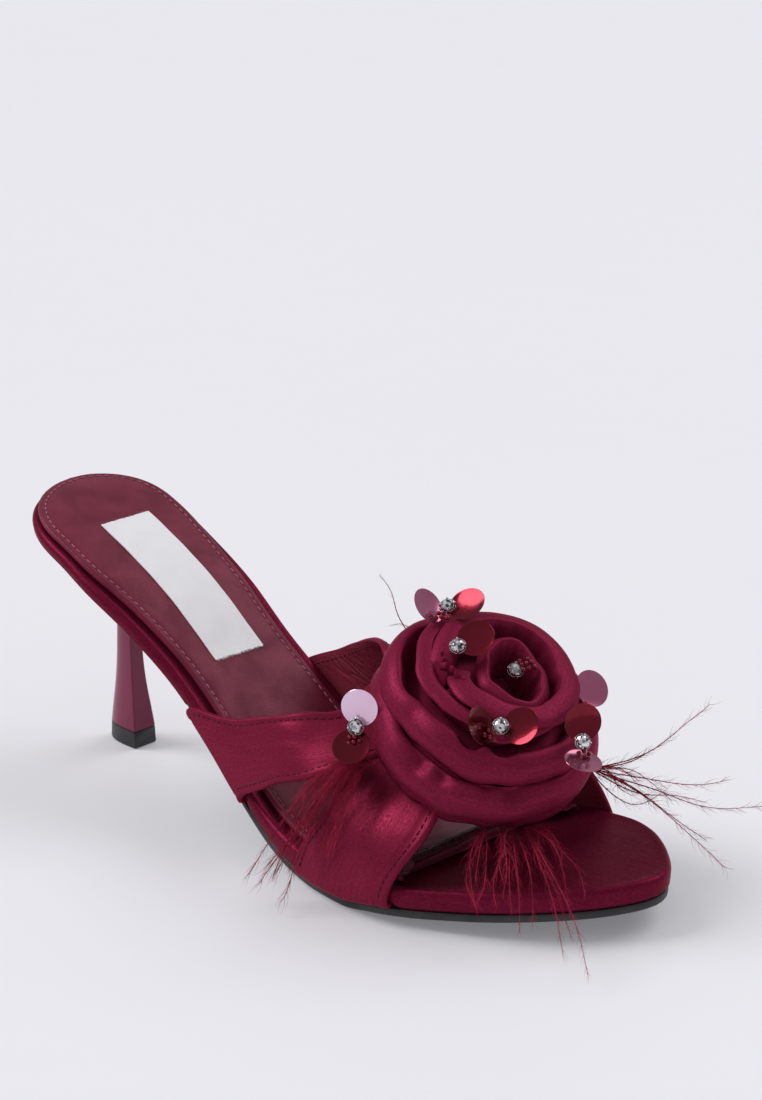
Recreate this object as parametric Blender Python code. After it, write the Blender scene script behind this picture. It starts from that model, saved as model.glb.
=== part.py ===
"""High-heeled mule for the right foot: satin footbed, crossed straps, rose, sequins and feathers.

Frame: +X towards the toe, +Y towards the inner side of the foot, +Z up, origin under the middle of
the bounding box. All sizes are in metres.
"""
import math

import bmesh
import bpy
from mathutils import Matrix, Vector

MM = 0.001

# Driving sizes
LENGTH = 232.0 * MM
HEEL_RISE = 77.6 * MM
BALL_HALF = 38.5 * MM
TOE_SHIFT = 13.8 * MM
GAP = 0.3 * MM

BOARD_T = 6.6 * MM
OUTSOLE_T = 2.6 * MM
SOCK_T = 2.2 * MM
STRAP_T = 1.6 * MM
STRAP_TUCK = 7.0 * MM
CROSS_LIFT = 0.9 * MM

HEEL_X = 26.9 * MM
HEEL_Y = -0.4 * MM
HEEL_DEPTH = 14.9 * MM
HEEL_WIDTH = 8.9 * MM
TIP_T = 5.3 * MM

ROSE_R = 33.0 * MM
ROSE_H = 36.0 * MM
ROSE_LEAN = math.radians(21.0)
ROSE_TURNS = 3.6
ROSE_X = 171.0 * MM
ROSE_Y = 5.0 * MM
ROSE_LIFT = -1.0 * MM

SEQUIN_R = 5.4 * MM
SEQUIN_T = 0.3 * MM
STONE_R = 2.0 * MM

# Plan of the footbed: share of length, outer half width and inner half width as shares of BALL_HALF
PLAN = (
    (0.00, 0.70, 0.60), (0.06, 0.73, 0.59), (0.13, 0.77, 0.58), (0.19, 0.80, 0.56),
    (0.26, 0.77, 0.54), (0.34, 0.72, 0.51), (0.43, 0.755, 0.555), (0.50, 0.805, 0.63),
    (0.56, 0.873, 0.73), (0.62, 0.94, 0.855), (0.69, 0.99, 0.98), (0.73, 1.00, 1.036),
    (0.78, 0.955, 1.07), (0.84, 0.845, 1.035), (0.89, 0.775, 0.955), (0.93, 0.73, 0.85),
    (0.97, 0.70, 0.73), (1.00, 0.68, 0.66),
)
# Side profile of the footbed: share of length, top height as a share of HEEL_RISE
PROFILE = (
    (0.00, 1.000), (0.06, 0.970), (0.12, 0.920), (0.19, 0.838), (0.26, 0.734), (0.34, 0.573),
    (0.41, 0.420), (0.47, 0.275), (0.53, 0.172), (0.58, 0.133), (0.63, 0.1186), (0.68, 0.1186),
    (0.73, 0.140), (0.79, 0.158), (0.86, 0.177), (0.93, 0.196), (1.00, 0.214),
)
# Share of length, footbed thickness as a share of BOARD_T
THICKNESS = ((0.00, 0.70), (0.26, 0.80), (0.43, 0.92), (0.60, 1.00), (1.00, 1.00))
# Share of length, how far the sock stands in from the footbed edge, as a share of SOCK_T
SOCK_INSET = ((0.00, 0.75), (0.13, 0.95), (0.26, 1.75), (0.39, 2.05), (0.52, 2.0), (1.00, 1.9))
SOCK_END = 0.772
# Share of length, height of the strap arch over the footbed as a share of HEEL_RISE
ARCH = (
    (0.36, 0.41), (0.41, 0.43), (0.455, 0.50), (0.545, 0.58), (0.59, 0.515), (0.69, 0.41),
    (0.82, 0.335), (0.90, 0.28),
)
# Strap edges: share of the way over the foot from outer to inner side, x as a share of LENGTH
REAR_BAND = (
    (0.0, 0.366, 0.477), (0.2, 0.517, 0.603), (0.4, 0.590, 0.677), (0.6, 0.575, 0.722),
    (0.8, 0.600, 0.765), (1.0, 0.645, 0.806),
)
FRONT_BAND = (
    (0.0, 0.601, 0.759), (0.2, 0.647, 0.789), (0.4, 0.630, 0.765), (0.6, 0.545, 0.690),
    (0.8, 0.455, 0.590), (1.0, 0.366, 0.483),
)
# Heel levels: share of the way from tip to seat, section size as a share of the foot of the heel
HEEL_LEVELS = (
    (0.00, 0.97), (0.10, 0.85), (0.20, 0.725), (0.315, 0.62), (0.45, 0.56), (0.56, 0.54),
    (0.66, 0.60), (0.78, 0.86), (0.89, 1.30), (1.00, 1.90),
)
# Heel section: corners as shares of half depth and half width, sharp at the breast, round behind
HEEL_SECTION = (
    (1.0, -1.0), (1.0, 1.0), (0.2, 1.0), (-0.40, 0.86), (-0.82, 0.50), (-1.0, 0.0),
    (-0.82, -0.50), (-0.40, -0.86), (0.2, -1.0),
)

COLOURS = {
    "satin": (0.17, 0.012, 0.04, 1.0),
    "satin_rose": (0.20, 0.012, 0.045, 1.0),
    "sock_leather": (0.12, 0.012, 0.03, 1.0),
    "sole_rubber": (0.03, 0.03, 0.035, 1.0),
    "heel_lacquer": (0.15, 0.02, 0.045, 1.0),
    "label_cloth": (0.85, 0.85, 0.83, 1.0),
    "sequin_red": (0.35, 0.01, 0.03, 1.0),
    "sequin_pale": (0.75, 0.45, 0.6, 1.0),
    "stone_clear": (0.9, 0.9, 0.92, 1.0),
    "bead_red": (0.25, 0.005, 0.02, 1.0),
    "feather": (0.28, 0.01, 0.05, 1.0),
}


def reset_scene():
    """Clear the file and make the two collections."""
    for ob in list(bpy.data.objects):
        bpy.data.objects.remove(ob, do_unlink=True)
    parts = bpy.data.collections.new("high_heel_mule")
    cutters = bpy.data.collections.new("cutters")
    for coll in (parts, cutters):
        bpy.context.scene.collection.children.link(coll)
    return parts, cutters


PARTS, CUTTERS = reset_scene()
MATERIALS = {}


def material(name):
    """A Principled material of one plain colour, made once."""
    if name not in MATERIALS:
        mat = bpy.data.materials.new(name)
        mat.use_nodes = True
        bsdf = mat.node_tree.nodes["Principled BSDF"]
        bsdf.inputs["Base Color"].default_value = COLOURS[name]
        bsdf.inputs["Roughness"].default_value = 0.4
        mat.diffuse_color = COLOURS[name]
        MATERIALS[name] = mat
    return MATERIALS[name]


def solid(name, verts, faces, mat=None, cutter=False):
    """An object from vertices and faces, welded and turned outwards."""
    mesh = bpy.data.meshes.new(name)
    mesh.from_pydata([tuple(v) for v in verts], [], faces)
    bm = bmesh.new()
    bm.from_mesh(mesh)
    bmesh.ops.remove_doubles(bm, verts=bm.verts, dist=1e-6)
    bmesh.ops.dissolve_degenerate(bm, edges=bm.edges, dist=1e-7)
    bmesh.ops.recalc_face_normals(bm, faces=bm.faces)
    bm.to_mesh(mesh)
    bm.free()
    ob = bpy.data.objects.new(name, mesh)
    if cutter:
        ob.hide_render = True
        ob.display_type = "WIRE"
        CUTTERS.objects.link(ob)
    else:
        mesh.materials.append(material(mat))
        PARTS.objects.link(ob)
    return ob


def cut(ob, tool, operation="DIFFERENCE"):
    """Apply an exact boolean to an object, keeping the result as its mesh."""
    mod = ob.modifiers.new("cut", "BOOLEAN")
    mod.operation = operation
    mod.solver = "EXACT"
    mod.object = tool
    graph = bpy.context.evaluated_depsgraph_get()
    mesh = bpy.data.meshes.new_from_object(ob.evaluated_get(graph))
    ob.modifiers.remove(mod)
    old = ob.data
    ob.data = mesh
    mesh.name = ob.name
    bpy.data.meshes.remove(old)
    bm = bmesh.new()
    bm.from_mesh(mesh)
    bmesh.ops.remove_doubles(bm, verts=bm.verts, dist=2e-6)
    bmesh.ops.dissolve_degenerate(bm, edges=bm.edges, dist=1e-6)
    bm.to_mesh(mesh)
    bm.free()


def keep_largest(ob):
    """Drop every shell of a mesh but the largest one."""
    bm = bmesh.new()
    bm.from_mesh(ob.data)
    left = set(bm.verts)
    shells = []
    while left:
        shell, stack = set(), [left.pop()]
        while stack:
            v = stack.pop()
            shell.add(v)
            near = [e.other_vert(v) for e in v.link_edges]
            stack += [w for w in near if w in left]
            left -= set(near)
        shells.append(shell)
    shells.sort(key=len)
    for shell in shells[:-1]:
        bmesh.ops.delete(bm, geom=list(shell), context="VERTS")
    bm.to_mesh(ob.data)
    bm.free()


def curve(table, x, column=1):
    """Smooth reading of a table at x by a Hermite curve through its rows."""
    xs = [row[0] for row in table]
    ys = [row[column] for row in table]
    if x <= xs[0]:
        return ys[0]
    if x >= xs[-1]:
        return ys[-1]
    i = max(k for k in range(len(xs) - 1) if xs[k] <= x)

    def slope(k):
        if k <= 0 or k >= len(xs) - 1:
            a, b = (0, 1) if k <= 0 else (len(xs) - 2, len(xs) - 1)
            return (ys[b] - ys[a]) / (xs[b] - xs[a])
        left = (ys[k] - ys[k - 1]) / (xs[k] - xs[k - 1])
        right = (ys[k + 1] - ys[k]) / (xs[k + 1] - xs[k])
        return 0.0 if left * right <= 0 else 2 * left * right / (left + right)

    w = xs[i + 1] - xs[i]
    t = (x - xs[i]) / w
    m0, m1 = slope(i) * w, slope(i + 1) * w
    return ((2 * t**3 - 3 * t**2 + 1) * ys[i] + (t**3 - 2 * t**2 + t) * m0
            + (3 * t**2 - 2 * t**3) * ys[i + 1] + (t**3 - t**2) * m1)


def edge_y(x, side):
    """Footbed edge at x: side -1 is the outer edge, +1 the inner edge."""
    u = min(max(x / LENGTH, 0.0), 1.0)
    half = curve(PLAN, u, 1 if side < 0 else 2) * BALL_HALF
    heel_r, toe_r = 0.112, 0.181
    cap = 1.0
    if u < heel_r:
        cap = max(0.0, 1 - ((heel_r - u) / heel_r) ** 2.1) ** 0.5
    if u > 1 - toe_r:
        cap = max(0.0, 1 - ((u - 1 + toe_r) / toe_r) ** 2.1) ** 0.55
    shift = TOE_SHIFT * max(0.0, (u - 0.647) / 0.353) ** 2
    return shift + side * half * cap


def top_z(x):
    """Height of the footbed's upper face."""
    return curve(PROFILE, min(max(x / LENGTH, 0.0), 1.0)) * HEEL_RISE


def board_t(x):
    """Thickness of the footbed at x."""
    return curve(THICKNESS, min(max(x / LENGTH, 0.0), 1.0)) * BOARD_T


def under_z(x):
    """Height of the footbed's lower face, never below the outsole's room."""
    return max(top_z(x) - board_t(x), OUTSOLE_T)


def outline(n, start=0.0, end=1.0):
    """Plan points of the footbed, outer side heel to toe and then back along the inner side."""
    lo, hi = start * LENGTH, end * LENGTH
    steps = [0.5 - 0.5 * math.cos(math.pi * k / n) for k in range(n + 1)]
    mixed = [0.62 * s + 0.38 * k / n for k, s in enumerate(steps)]
    xs = [lo + (hi - lo) * m for m in mixed]
    outer = [Vector((x, edge_y(x, -1), 0)) for x in xs]
    inner = [Vector((x, edge_y(x, 1), 0)) for x in reversed(xs)]
    loop = outer + inner
    return [p for i, p in enumerate(loop) if (p - loop[i - 1]).length > 1e-7]


def inward(loop):
    """Vectors that move each corner of a plan loop in by one unit on both of its sides."""
    out = []
    for i, p in enumerate(loop):
        before = (p - loop[i - 1]).normalized()
        after = (loop[(i + 1) % len(loop)] - p).normalized()
        n1 = Vector((-before.y, before.x, 0))
        n2 = Vector((-after.y, after.x, 0))
        out.append((n1 + n2) / max(1 + n1.dot(n2), 0.6))
    return out


def plate(name, loop, rings, mat, cutter=False):
    """Closed plate on a plan loop; rings give (inset function, scale, height function)."""
    normals = inward(loop)
    xs = [p.x for p in loop]
    lo, hi = min(xs), max(xs)
    reach = 0.11 * LENGTH
    verts, faces = [], []
    n = len(loop)
    for inset, scale, height in rings:
        for p, nrm in zip(loop, normals):
            q = p + nrm * inset(p.x)
            sx = min(max(q.x, lo + reach), hi - reach)
            spine = Vector((sx, (edge_y(sx, -1) + edge_y(sx, 1)) / 2, 0))
            q = spine + (q - spine) * scale
            verts.append(Vector((q.x, q.y, height(q.x))))
    for r in range(len(rings) - 1):
        for i in range(n):
            j = (i + 1) % n
            faces.append((r * n + i, r * n + j, (r + 1) * n + j, (r + 1) * n + i))
    ob = solid(name, verts, faces, mat, cutter)
    bm = bmesh.new()
    bm.from_mesh(ob.data)
    holes = [e for e in bm.edges if len(e.link_faces) < 2]
    if holes:
        bmesh.ops.contextual_create(bm, geom=holes)
    bmesh.ops.recalc_face_normals(bm, faces=bm.faces)
    if bm.calc_volume(signed=True) < 0:
        bmesh.ops.reverse_faces(bm, faces=bm.faces)
    bm.to_mesh(ob.data)
    bm.free()
    return ob


def flat(value):
    """A function that returns one value wherever it is read."""
    return lambda x: value


def make_footbed():
    """Satin-wrapped footbed with rounded edges."""
    rings = [
        (flat(0), 0.0, lambda x: top_z(x) - 0.4 * MM),
        (flat(0), 0.6, lambda x: top_z(x) - 0.4 * MM),
        (flat(3.0 * MM), 1.0, lambda x: top_z(x) - 0.3 * MM),
        (flat(1.2 * MM), 1.0, lambda x: top_z(x)),
        (flat(0.25 * MM), 1.0, lambda x: top_z(x) - 0.8 * MM),
        (flat(0), 1.0, lambda x: top_z(x) - 2.0 * MM),
        (flat(0.1 * MM), 1.0, lambda x: under_z(x) + 0.9 * MM),
        (flat(0.9 * MM), 1.0, lambda x: under_z(x) + GAP),
        (flat(0), 0.6, lambda x: under_z(x) + GAP),
        (flat(0), 0.0, lambda x: under_z(x) + GAP),
    ]
    return plate("footbed", outline(34), rings, "satin")


def make_outsole():
    """Thin black sole from the heel breast to the toe, with a flat tread under the ball."""
    def upper(x):
        return under_z(x)

    def lower(x):
        return max(upper(x) - OUTSOLE_T * (0.55 + 0.45 * min(1.0, x / (0.55 * LENGTH))), 0.0)

    rings = [
        (flat(0), 0.0, upper),
        (flat(0), 0.6, upper),
        (flat(0.9 * MM), 1.0, upper),
        (flat(0.7 * MM), 1.0, lambda x: upper(x) - 0.35 * MM),
        (flat(1.0 * MM), 1.0, lambda x: lower(x) + 0.5 * MM),
        (flat(2.0 * MM), 1.0, lower),
        (flat(0), 0.6, lower),
        (flat(0), 0.0, lower),
    ]
    return plate("outsole", outline(30, 0.20, 1.0), rings, "sole_rubber")


def sock_inset(x):
    """Distance of the sock's edge from the footbed's edge."""
    return curve(SOCK_INSET, min(max(x / LENGTH, 0.0), 1.0)) * SOCK_T


def make_sock():
    """Padded sock with a straight front edge."""
    def base(x):
        return top_z(x) + GAP

    rings = [
        (flat(0), 0.0, base),
        (flat(0), 0.6, base),
        (lambda x: sock_inset(x) + 0.4 * MM, 1.0, base),
        (sock_inset, 1.0, lambda x: base(x) + 0.7 * MM),
        (lambda x: sock_inset(x) + 0.4 * MM, 1.0, lambda x: base(x) + 1.4 * MM),
        (lambda x: sock_inset(x) + 2.4 * MM, 1.0, lambda x: base(x) + SOCK_T - 0.1 * MM),
        (flat(0), 0.6, lambda x: base(x) + SOCK_T),
        (flat(0), 0.0, lambda x: base(x) + SOCK_T),
    ]
    return plate("sock", outline(30, 0.0, SOCK_END), rings, "sock_leather")


def make_label():
    """Cloth label lying on the sock, slightly turned."""
    x0, x1, half, yaw, centre = 29.3 * MM, 81.7 * MM, 9.2 * MM, -0.036, -3.06 * MM
    nx, ny = 12, 3
    verts, faces = [], []
    for layer in (0.25 * MM, 0.65 * MM):
        for i in range(nx + 1):
            for j in range(ny + 1):
                u = x0 + (x1 - x0) * i / nx
                v = -half + 2 * half * j / ny
                x = u - v * math.sin(yaw)
                y = centre + v + (u - (x0 + x1) / 2) * math.sin(yaw)
                verts.append(Vector((x, y, top_z(x) + GAP + SOCK_T + layer)))
    per = (nx + 1) * (ny + 1)

    def at(layer, i, j):
        return layer * per + i * (ny + 1) + j

    for i in range(nx):
        for j in range(ny):
            for layer in (0, 1):
                faces.append((at(layer, i, j), at(layer, i + 1, j), at(layer, i + 1, j + 1),
                              at(layer, i, j + 1)))
    rim = [(i, 0) for i in range(nx)] + [(nx, j) for j in range(ny)]
    rim += [(i, ny) for i in range(nx, 0, -1)] + [(0, j) for j in range(ny, 0, -1)]
    for k, (i, j) in enumerate(rim):
        i2, j2 = rim[(k + 1) % len(rim)]
        faces.append((at(0, i, j), at(0, i2, j2), at(1, i2, j2), at(1, i, j)))
    return solid("label", verts, faces, "label_cloth")


def loft(name, rings, mat, cutter=False):
    """Closed solid through rings of equal length, with both ends capped."""
    n = len(rings[0])
    verts = [v for ring in rings for v in ring]
    faces = []
    for r in range(len(rings) - 1):
        for i in range(n):
            j = (i + 1) % n
            faces.append((r * n + i, r * n + j, (r + 1) * n + j, (r + 1) * n + i))
    faces.append(tuple(range(n)))
    faces.append(tuple(range((len(rings) - 1) * n, len(rings) * n)))
    return solid(name, verts, faces, mat, cutter)


def heel_ring(size, height):
    """Heel section of one size; height is a function of x and y."""
    ring = []
    for cx, cy in HEEL_SECTION:
        x = HEEL_X + cx * HEEL_DEPTH / 2 * size
        y = HEEL_Y + cy * HEEL_WIDTH / 2 * size
        ring.append(Vector((x, y, height(x))))
    return ring


def make_heel():
    """Flared faceted heel that meets the underside of the footbed."""
    foot = TIP_T + GAP
    seat = under_z(HEEL_X)
    rings = []
    for share, size in HEEL_LEVELS:
        slope = max(0.0, (share - 0.6) / 0.4)
        rings.append(heel_ring(size, lambda x, s=share, k=slope: foot + (seat - foot) * s
                               + k * (under_z(x) - seat)))
    return loft("heel", rings, "heel_lacquer")


def make_heel_tip():
    """Top lift under the heel, flat on the floor."""
    rings = [heel_ring(0.97, flat(0.0)), heel_ring(1.0, flat(0.4 * MM)),
             heel_ring(0.97, flat(TIP_T - 0.3 * MM)), heel_ring(0.95, flat(TIP_T))]
    return loft("heel_tip", rings, "sole_rubber")


def arch_point(x, share, out=0.0):
    """Point of the straps' middle face; share runs from the outer (0) to the inner edge (1)."""
    lo = edge_y(x, -1) - GAP - STRAP_T / 2 - out
    hi = edge_y(x, 1) + GAP + STRAP_T / 2 + out
    foot = under_z(x) + 2.6 * MM
    a = math.pi * share
    crown = curve(ARCH, x / LENGTH) * HEEL_RISE * (1 - 0.10 * math.cos(a))
    high = top_z(x) + crown - foot + out
    power = 0.95 - 0.18 * (0.5 + 0.5 * math.cos(a))
    c = math.copysign(abs(math.cos(a)) ** power, math.cos(a))
    s = abs(math.sin(a)) ** power
    mid = (lo + hi) / 2 + 3.0 * MM * math.sin(a) ** 2
    return Vector((x, mid - (hi - lo) / 2 * c, foot + high * s))


def strap_z(x, y, out=0.0):
    """Height of the straps' middle face, moved out, over a plan point."""
    lo, hi = 0.02, 0.98
    for _ in range(24):
        mid = (lo + hi) / 2
        if arch_point(x, mid, out).y < y:
            lo = mid
        else:
            hi = mid
    return arch_point(x, (lo + hi) / 2, out).z


def band(name, table, lift, grow=0.0, cutter=False):
    """One strap: a curved wall over the foot whose two ends turn in under the footbed."""
    half = STRAP_T / 2 + grow
    shares = [k / 26 for k in range(27)]
    across = [k / 6 for k in range(7)]
    columns = []
    for q in across:
        mids = []
        for end in (0, 1):
            rear, front = curve(table, end, 1), curve(table, end, 2)
            x = (rear + (front - rear) * q) * LENGTH + (2 * q - 1) * grow
            side = -1 if end == 0 else 1
            y = edge_y(x, side) + side * (GAP + STRAP_T / 2)
            z = under_z(x) + GAP + STRAP_T / 2
            pts = [Vector((x, y - side * STRAP_TUCK - side * grow, z)),
                   Vector((x, y - side * 1.6 * MM, z)),
                   Vector((x, y - side * 0.45 * MM, z + 0.3 * MM))]
            mids.append(pts)
        arch = []
        for s in shares:
            rear, front = curve(table, s, 1), curve(table, s, 2)
            x = (rear + (front - rear) * q) * LENGTH + (2 * q - 1) * grow
            raise_by = lift * min(1.0, max(0.0, (math.sin(math.pi * s) - 0.35) / 0.3))
            arch.append(arch_point(x, s, raise_by))
        columns.append(mids[0] + arch + list(reversed(mids[1])))
    rows = len(columns[0])
    verts, faces = [], []
    for sign in (1, -1):
        for col in columns:
            for i, p in enumerate(col):
                a, b = col[max(i - 1, 0)], col[min(i + 1, rows - 1)]
                nrm = Vector((0, -(b.z - a.z), b.y - a.y)).normalized()
                verts.append(p + nrm * half * sign)
    nq = len(across)

    def at(layer, q, i):
        return layer * nq * rows + q * rows + i

    for q in range(nq - 1):
        for i in range(rows - 1):
            for layer in (0, 1):
                faces.append((at(layer, q, i), at(layer, q + 1, i), at(layer, q + 1, i + 1),
                              at(layer, q, i + 1)))
    rim = [(q, 0) for q in range(nq - 1)] + [(nq - 1, i) for i in range(rows - 1)]
    rim += [(q, rows - 1) for q in range(nq - 1, 0, -1)] + [(0, i) for i in range(rows - 1, 0, -1)]
    for k, (q, i) in enumerate(rim):
        q2, i2 = rim[(k + 1) % len(rim)]
        faces.append((at(0, q, i), at(0, q2, i2), at(1, q2, i2), at(1, q, i)))
    return solid(name, verts, faces, None if cutter else "satin", cutter)


def make_straps(footbed):
    """Two crossed straps fused where they meet, seated in recesses under the footbed."""
    straps = band("straps", REAR_BAND, CROSS_LIFT)
    other = band("front_band_tool", FRONT_BAND, 0.0, cutter=True)
    cut(straps, other, "UNION")
    keep_largest(straps)
    for name, table in (("rear_recess", REAR_BAND), ("front_recess", FRONT_BAND)):
        cut(footbed, band(name, table, 0.0, grow=GAP, cutter=True))
    return straps


ROSE_N = Vector((math.sin(ROSE_LEAN), 0.0, math.cos(ROSE_LEAN)))
ROSE_U = Vector((math.cos(ROSE_LEAN), 0.0, -math.sin(ROSE_LEAN)))
ROSE_V = Vector((0.0, 1.0, 0.0))
ROSE_FOOT = Vector((ROSE_X, ROSE_Y, strap_z(ROSE_X, ROSE_Y)))
ROSE_O = ROSE_FOOT + ROSE_N * ROSE_LIFT


def rose_point(r, angle, height):
    """World point from the rose's own radius, angle and height."""
    return (ROSE_O + ROSE_U * (r * math.cos(angle)) + ROSE_V * (r * math.sin(angle))
            + ROSE_N * height)


def rose_height(r, angle):
    """Height of the petals: a dome with one spiral lip that winds into the bud."""
    share = min(r / ROSE_R, 1.0)
    stand = 1 + 0.22 * share * max(0.0, -math.cos(angle + 0.2))
    dome = ROSE_H * 0.80 * (1 - share**3.4) ** 0.60 * stand
    turn = share * ROSE_TURNS - angle / (2 * math.pi)
    w = turn - math.floor(turn)
    rise = 0.22
    if w < rise:
        lip = 0.5 - 0.5 * math.cos(math.pi * w / rise)
    else:
        lip = 0.5 + 0.5 * math.cos(math.pi * (w - rise) / (1 - rise))
    ruffle = 1.0 + 0.22 * share * math.sin(5 * angle + 9 * share)
    fade = min(1.0, (1 - share) / 0.08)
    pit = ROSE_H * 0.42 * math.exp(-((r / (0.15 * ROSE_R)) ** 2))
    return dome + 5.2 * MM * lip * ruffle * fade - pit


def make_rose():
    """Satin rose: spiral petals over a tapering base that follows the straps below."""
    n, rings = 52, 23
    verts, faces = [], []
    for k in range(rings + 1):
        share = (k + 0.4) / (rings + 0.4) if k else 0.4 / (rings + 0.4)
        for i in range(n):
            a = 2 * math.pi * i / n
            r = ROSE_R * share * (1 + 0.025 * share * math.sin(5 * a + 1.0))
            verts.append(rose_point(r, a, rose_height(share * ROSE_R, a)))
    for share, depth in ((0.97, -2.6), (0.82, -5.5), (0.55, -11.0), (0.25, -15.0)):
        for i in range(n):
            a = 2 * math.pi * i / n
            r = ROSE_R * share * (1 + 0.025 * share * math.sin(5 * a + 1.0))
            verts.append(rose_point(r, a, depth * MM))
    total = rings + 5
    for r in range(total - 1):
        for i in range(n):
            j = (i + 1) % n
            faces.append((r * n + i, r * n + j, (r + 1) * n + j, (r + 1) * n + i))
    top = len(verts)
    verts.append(rose_point(0, 0, rose_height(0, 0)))
    verts.append(rose_point(0, 0, -15.5 * MM))
    for i in range(n):
        j = (i + 1) % n
        faces.append((top, j, i))
        faces.append((top + 1, (total - 1) * n + i, (total - 1) * n + j))
    rose = solid("rose", verts, faces, "satin_rose")
    clear = CROSS_LIFT + STRAP_T / 2 + 2.5 * GAP
    stations = []
    for k in range(15):
        share = 0.53 + 0.31 * k / 14
        x = share * LENGTH
        fall = max(0.0, share - 0.805) * LENGTH * 1.6
        ring = [arch_point(x, s / 20, clear - fall) for s in range(21)]
        ring = [Vector((p.x, p.y, p.z)) for p in ring]
        ring.append(Vector((x, ring[-1].y, -5 * MM)))
        ring.append(Vector((x, ring[0].y, -5 * MM)))
        stations.append(ring)
    cut(rose, loft("rose_seat", stations, None, cutter=True))
    return rose


def disc(name, centre, normal, radius, thick, sides, mat):
    """Thin round plate."""
    spin = Vector((0, 0, 1)).rotation_difference(normal).to_matrix()
    rings = []
    for z in (-thick / 2, thick / 2):
        rings.append([centre + spin @ Vector((radius * math.cos(2 * math.pi * i / sides),
                                              radius * math.sin(2 * math.pi * i / sides), z))
                      for i in range(sides)])
    return loft(name, rings, mat)


def stone(name, centre, normal, radius):
    """Cut stone: table, crown, girdle and pavilion."""
    spin = Vector((0, 0, 1)).rotation_difference(normal).to_matrix()
    levels = ((0.55, 0.62), (1.0, 0.18), (1.0, 0.05), (0.18, -0.75))
    rings = [[centre + spin @ Vector((radius * r * math.cos(2 * math.pi * (i + 0.5 * k) / 8),
                                      radius * r * math.sin(2 * math.pi * (i + 0.5 * k) / 8),
                                      radius * z)) for i in range(8)]
             for k, (r, z) in enumerate(levels)]
    return loft(name, rings, "stone_clear")


def bead_drop(name, centre, axis, radius, length):
    """Short string of three beads fused end to end."""
    spin = Vector((0, 0, 1)).rotation_difference(axis).to_matrix()
    profile = (0.5, 1.0, 0.6, 1.0, 0.6, 1.0, 0.5)
    rings = [[centre + spin @ Vector((radius * p * math.cos(2 * math.pi * i / 5),
                                      radius * p * math.sin(2 * math.pi * i / 5),
                                      length * (k / 6 - 0.5))) for i in range(5)]
             for k, p in enumerate(profile)]
    return loft(name, rings, "bead_red")


def clearance(points):
    """Least height of points above the petals, in the rose's own frame."""
    low = 1.0
    for p in points:
        d = p - ROSE_O
        u, v, h = d.dot(ROSE_U), d.dot(ROSE_V), d.dot(ROSE_N)
        r = math.hypot(u, v)
        if r > ROSE_R * 1.03:
            continue
        low = min(low, h - rose_height(r, math.atan2(v, u)))
    return low


# Sequin groups: name, radius share, angle, height share, the way the group faces, the way from its
# stone to its first sequin, then the finish of both sequins ("" leaves one out)
GROUPS = (
    ("near", 1.03, -127, 0.03, (0.45, -0.80, 0.45), (0.0, 0.2, 1.0), "sequin_pale", "sequin_red"),
    ("back", 0.76, 172, 0.74, (0.25, -0.45, 0.85), (-0.7, -0.7, 0.1), "sequin_pale",
     "sequin_red"),
    ("crown", 0.41, -149, 0.79, (0.40, -0.50, 0.75), (0.5, 0.7, 0.4), "sequin_red", ""),
    ("bud", 0.13, 83, 0.73, (0.45, -0.35, 0.80), (0.0, 0.0, 1.0), "", ""),
    ("front", 0.70, -46, 0.72, (0.55, -0.50, 0.65), (-0.7, -0.7, 0.0), "sequin_red",
     "sequin_red"),
    ("toe", 0.84, 12, 0.55, (0.75, -0.35, 0.55), (0.0, 0.2, 1.0), "sequin_red", "sequin_pale"),
    ("inner", 0.97, 62, 0.60, (0.60, 0.10, 0.75), (0.4, 0.9, 0.0), "", "sequin_pale"),
)


def make_groups():
    """Sequins, stones and beads sewn over the rose."""
    for name, rs, deg, hs, face, wing, first, second in GROUPS:
        nrm = Vector(face).normalized()
        along = Vector(wing)
        along = (along - nrm * along.dot(nrm)).normalized()
        cross = along.cross(nrm)
        base = rose_point(rs * ROSE_R, math.radians(deg), hs * ROSE_H)
        with_beads = name not in ("inner", "crown")
        discs = []
        for k, finish in ((1, first), (-1, second)):
            if finish:
                lean = math.radians(22) * k
                facing = Matrix.Rotation(lean, 3, cross) @ nrm
                middle = along * (k * SEQUIN_R * 1.02) + nrm * SEQUIN_R * 0.30
                discs.append((k, finish, middle, facing))
        for _ in range(60):
            pts = []
            for k, finish, middle, facing in discs:
                spin = Vector((0, 0, 1)).rotation_difference(facing).to_matrix()
                for i in range(12):
                    c = spin @ Vector((SEQUIN_R * math.cos(i * math.pi / 6),
                                       SEQUIN_R * math.sin(i * math.pi / 6), -SEQUIN_T / 2))
                    pts.append(base + middle + c)
                    pts.append(base + middle + c * 0.5)
            bead = base + nrm * 1.9 * MM + cross * (STONE_R + 1.5 * MM)
            for i in range(8):
                t = i * math.pi / 4
                c = along * math.cos(t) + cross * math.sin(t)
                pts.append(base + c * STONE_R + nrm * STONE_R * 1.1)
                pts.append(base + c * STONE_R * 0.2 + nrm * STONE_R * 0.3)
                if with_beads:
                    swing = (cross * math.cos(t) + nrm * math.sin(t)) * 0.9 * MM
                    pts += [bead + swing, bead + swing + along * 2 * MM,
                            bead + swing - along * 2 * MM]
            if clearance(pts) > GAP:
                break
            base = base + nrm * 0.3 * MM
        for k, finish, middle, facing in discs:
            disc(f"sequin_{name}_{'a' if k > 0 else 'b'}", base + middle, facing, SEQUIN_R,
                 SEQUIN_T, 16, finish)
        if name != "inner":
            stone(f"stone_{name}", base + nrm * (STONE_R * 1.1), nrm, STONE_R)
        if with_beads:
            bead_drop(f"beads_{name}", bead, along, 0.8 * MM, 4.0 * MM)


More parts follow.
